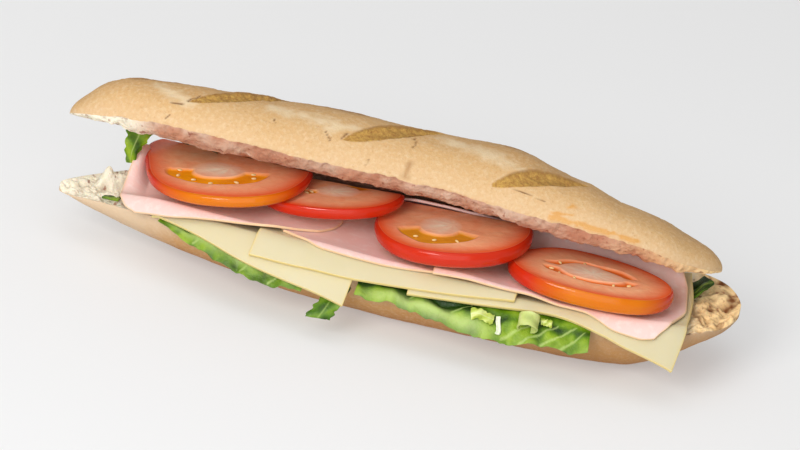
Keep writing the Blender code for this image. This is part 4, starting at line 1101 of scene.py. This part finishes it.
def layStrip(name, path, halves, thick, material, cup=0.5, frill=0.0, pale=0.0):
    # path and halves hold the points along the middle and half the width there
    path, halves = np.array(path, float), np.array(halves, float)
    ahead = np.gradient(path, axis=0)
    normals = np.cross(ahead, halves)
    normals /= np.linalg.norm(normals, axis=1)[:, None]
    count = len(path) - 1

    def shape(u, v):
        at = u * count
        side = v * 2 - 1
        keys = np.arange(count + 1)
        tables = (path, halves, normals)
        mid, half, up = ([np.interp(at, keys, table[:, a]) for a in range(3)] for table in tables)
        tuck = grain(mid[0] + side * 6, mid[1], mid[2] + 3, 5.0, 2)
        ruff = frill * (np.sin(u * 15 + 2 * side) * np.abs(side) + 0.8 * tuck)
        lift = cup * (side * side - 0.5) - thick / 2 + ruff
        jag = 1 + (0.10 if frill else 0.03) * np.sin(u * 23 + 4 * tuck)
        points = [mid[a] + half[a] * side * jag + up[a] * lift for a in range(3)]
        # lighter where the strip is tucked up, painted light, with bands of lighter and darker green along it
        return points, {"vein": unit(1 - np.abs(side) * 9) * (0.5 if frill else 0.0),
                        "pale": pale + 0 * u, "paintedLightLevel": 0.5 + 0.22 * np.sin(u * 9 + side * 3) + 0.3 * tuck}

    piece = thinForm(name.replace("lettuce_", "Lettuce").title().replace("_", ""), 60, 20, shape, thick, 0.15)
    settle(piece, material, "crisp_lettuce", name)


stripPoints, curlPoints = 33, 61
for stripName, form in strips.items():
    keys = [(i, *point) for i, point in enumerate(form["path"])]
    places = np.linspace(0, len(form["path"]) - 1, stripPoints)
    path = np.stack(smoothRows(keys, (1, 2, 3), places), axis=1)
    if stripName in onLeaf:
        base, _ = leafAt(leaves["lettuce_centre"], path[:, 0], path[:, 1])
        path[:, 2] += base + leaves["lettuce_centre"]["thick"]
    first, last = np.array(form["half"][0]), np.array(form["half"][1])
    halves = [first + (last - first) * i / (stripPoints - 1) for i in range(stripPoints)]
    frilled = stripName in ("lettuce_drop", "lettuce_end_left", "lettuce_frill_a", "lettuce_frill_b")
    material = leafPale if stripName in onLeaf else leafGreen
    # painted shade: the hanging leaf takes the darker copy
    if stripName == "lettuce_drop":
        material = leafShade
    layStrip(stripName, path, halves, form["thick"] * 0.7, material, 0.5, 0.35 if frilled else 0.0,
        0.85 if stripName == "lettuce_shred" else 0.0)

slope = math.radians(rollForm["slope"])
axis = np.array((0.0, -math.cos(slope), -math.sin(slope)))
upward = np.array((0.0, -math.sin(slope), math.cos(slope)))
curl = []
for i in range(curlPoints):
    turn = math.radians(rollForm["turns"][0] + (rollForm["turns"][1] - rollForm["turns"][0]) * i
        / (curlPoints - 1))
    spoke = np.array((math.cos(turn), 0.0, 0.0)) + upward * math.sin(turn)
    curl.append(np.array(rollForm["middle"]) + spoke * rollForm["radius"])
layStrip("lettuce_stalk", curl, [axis * rollForm["half"]] * curlPoints, rollForm["thick"] * 0.8, leafPale, 0.2,
    0.0, 0.15)
print("lettuce laid")


studio = {"azimuth": 0.0, "elevation": 25.0, "roll": 11.5, "distance": 3.0, "millimetresPerPixel": 0.42,
          "pixels": 800, "target": (-0.84, 32.8), "floor": "#C8C8C8", "glow": 0.30, "sky": 0.46}

clearSelection()
bpy.ops.mesh.primitive_plane_add(size=6.0, location=(0, 0, 0))
floor = bpy.context.object
floor.name = "Floor"
floorPaint, floorTree, floorShader = startMaterial("paleStudioFloor")
setShader(floorShader, base=tone(studio["floor"]), rough=0.9, glow=(1, 1, 1, 1), glowStrength=studio["glow"])
floor.data.materials.append(floorPaint)

elevation = math.radians(studio["elevation"])
rightAxis, upAxis = Vector((1, 0, 0)), Vector((0, math.sin(elevation), math.cos(elevation)))
backAxis = Vector((0, -math.cos(elevation), math.sin(elevation)))
roll = math.radians(studio["roll"])
cameraRight = rightAxis * math.cos(roll) + upAxis * math.sin(roll)
cameraUp = -rightAxis * math.sin(roll) + upAxis * math.cos(roll)
targetX, targetV = studio["target"]
# the point that the photograph's middle looks at, on the plane y = 0 before the whole is moved
target = (Vector((targetX, 0.0, targetV / math.cos(elevation))) + Vector(moveBy)) * mm
cameraData = bpy.data.cameras.new("Camera")
camera = bpy.data.objects.new("Camera", cameraData)
bpy.context.scene.collection.objects.link(camera)
cameraData.sensor_width = 36.0
pictureWidth = studio["pixels"] * studio["millimetresPerPixel"] * mm
cameraData.lens = cameraData.sensor_width * studio["distance"] / pictureWidth
cameraData.clip_end = 20.0
pose = Matrix((cameraRight, cameraUp, backAxis)).transposed().to_4x4()
pose.translation = target + backAxis * studio["distance"]
camera.matrix_world = pose
bpy.context.scene.camera = camera

lamps = {
    "FrontLeft": dict(place=(-0.75, -1.6, 1.05), aim=(0, 0, 0.03), size=0.8, power=22.5),
    "FrontLow": dict(place=(0.1, -1.9, 0.6), aim=(0, 0, 0.04), size=1.6, power=12.0),
    "Overhead": dict(place=(-0.25, -0.45, 1.5), aim=(0, 0, 0.02), size=1.4, power=5.5),
}
for lampName, lamp in lamps.items():
    lampData = bpy.data.lights.new(lampName, "AREA")
    lampData.shape, lampData.size, lampData.energy = "SQUARE", lamp["size"], lamp["power"]
    lampObject = bpy.data.objects.new(lampName, lampData)
    bpy.context.scene.collection.objects.link(lampObject)
    lampObject.location = lamp["place"]
    direction = Vector(lamp["aim"]) - Vector(lamp["place"])
    lampObject.rotation_euler = direction.to_track_quat("-Z", "Y").to_euler()

world = bpy.data.worlds.new("Studio")
bpy.context.scene.world = world
world.use_nodes = True
world.node_tree.nodes["Background"].inputs["Color"].default_value = (1.0, 1.0, 1.0, 1.0)
world.node_tree.nodes["Background"].inputs["Strength"].default_value = studio["sky"]
bpy.context.scene.view_settings.view_transform = "Standard"

print("scene ready")
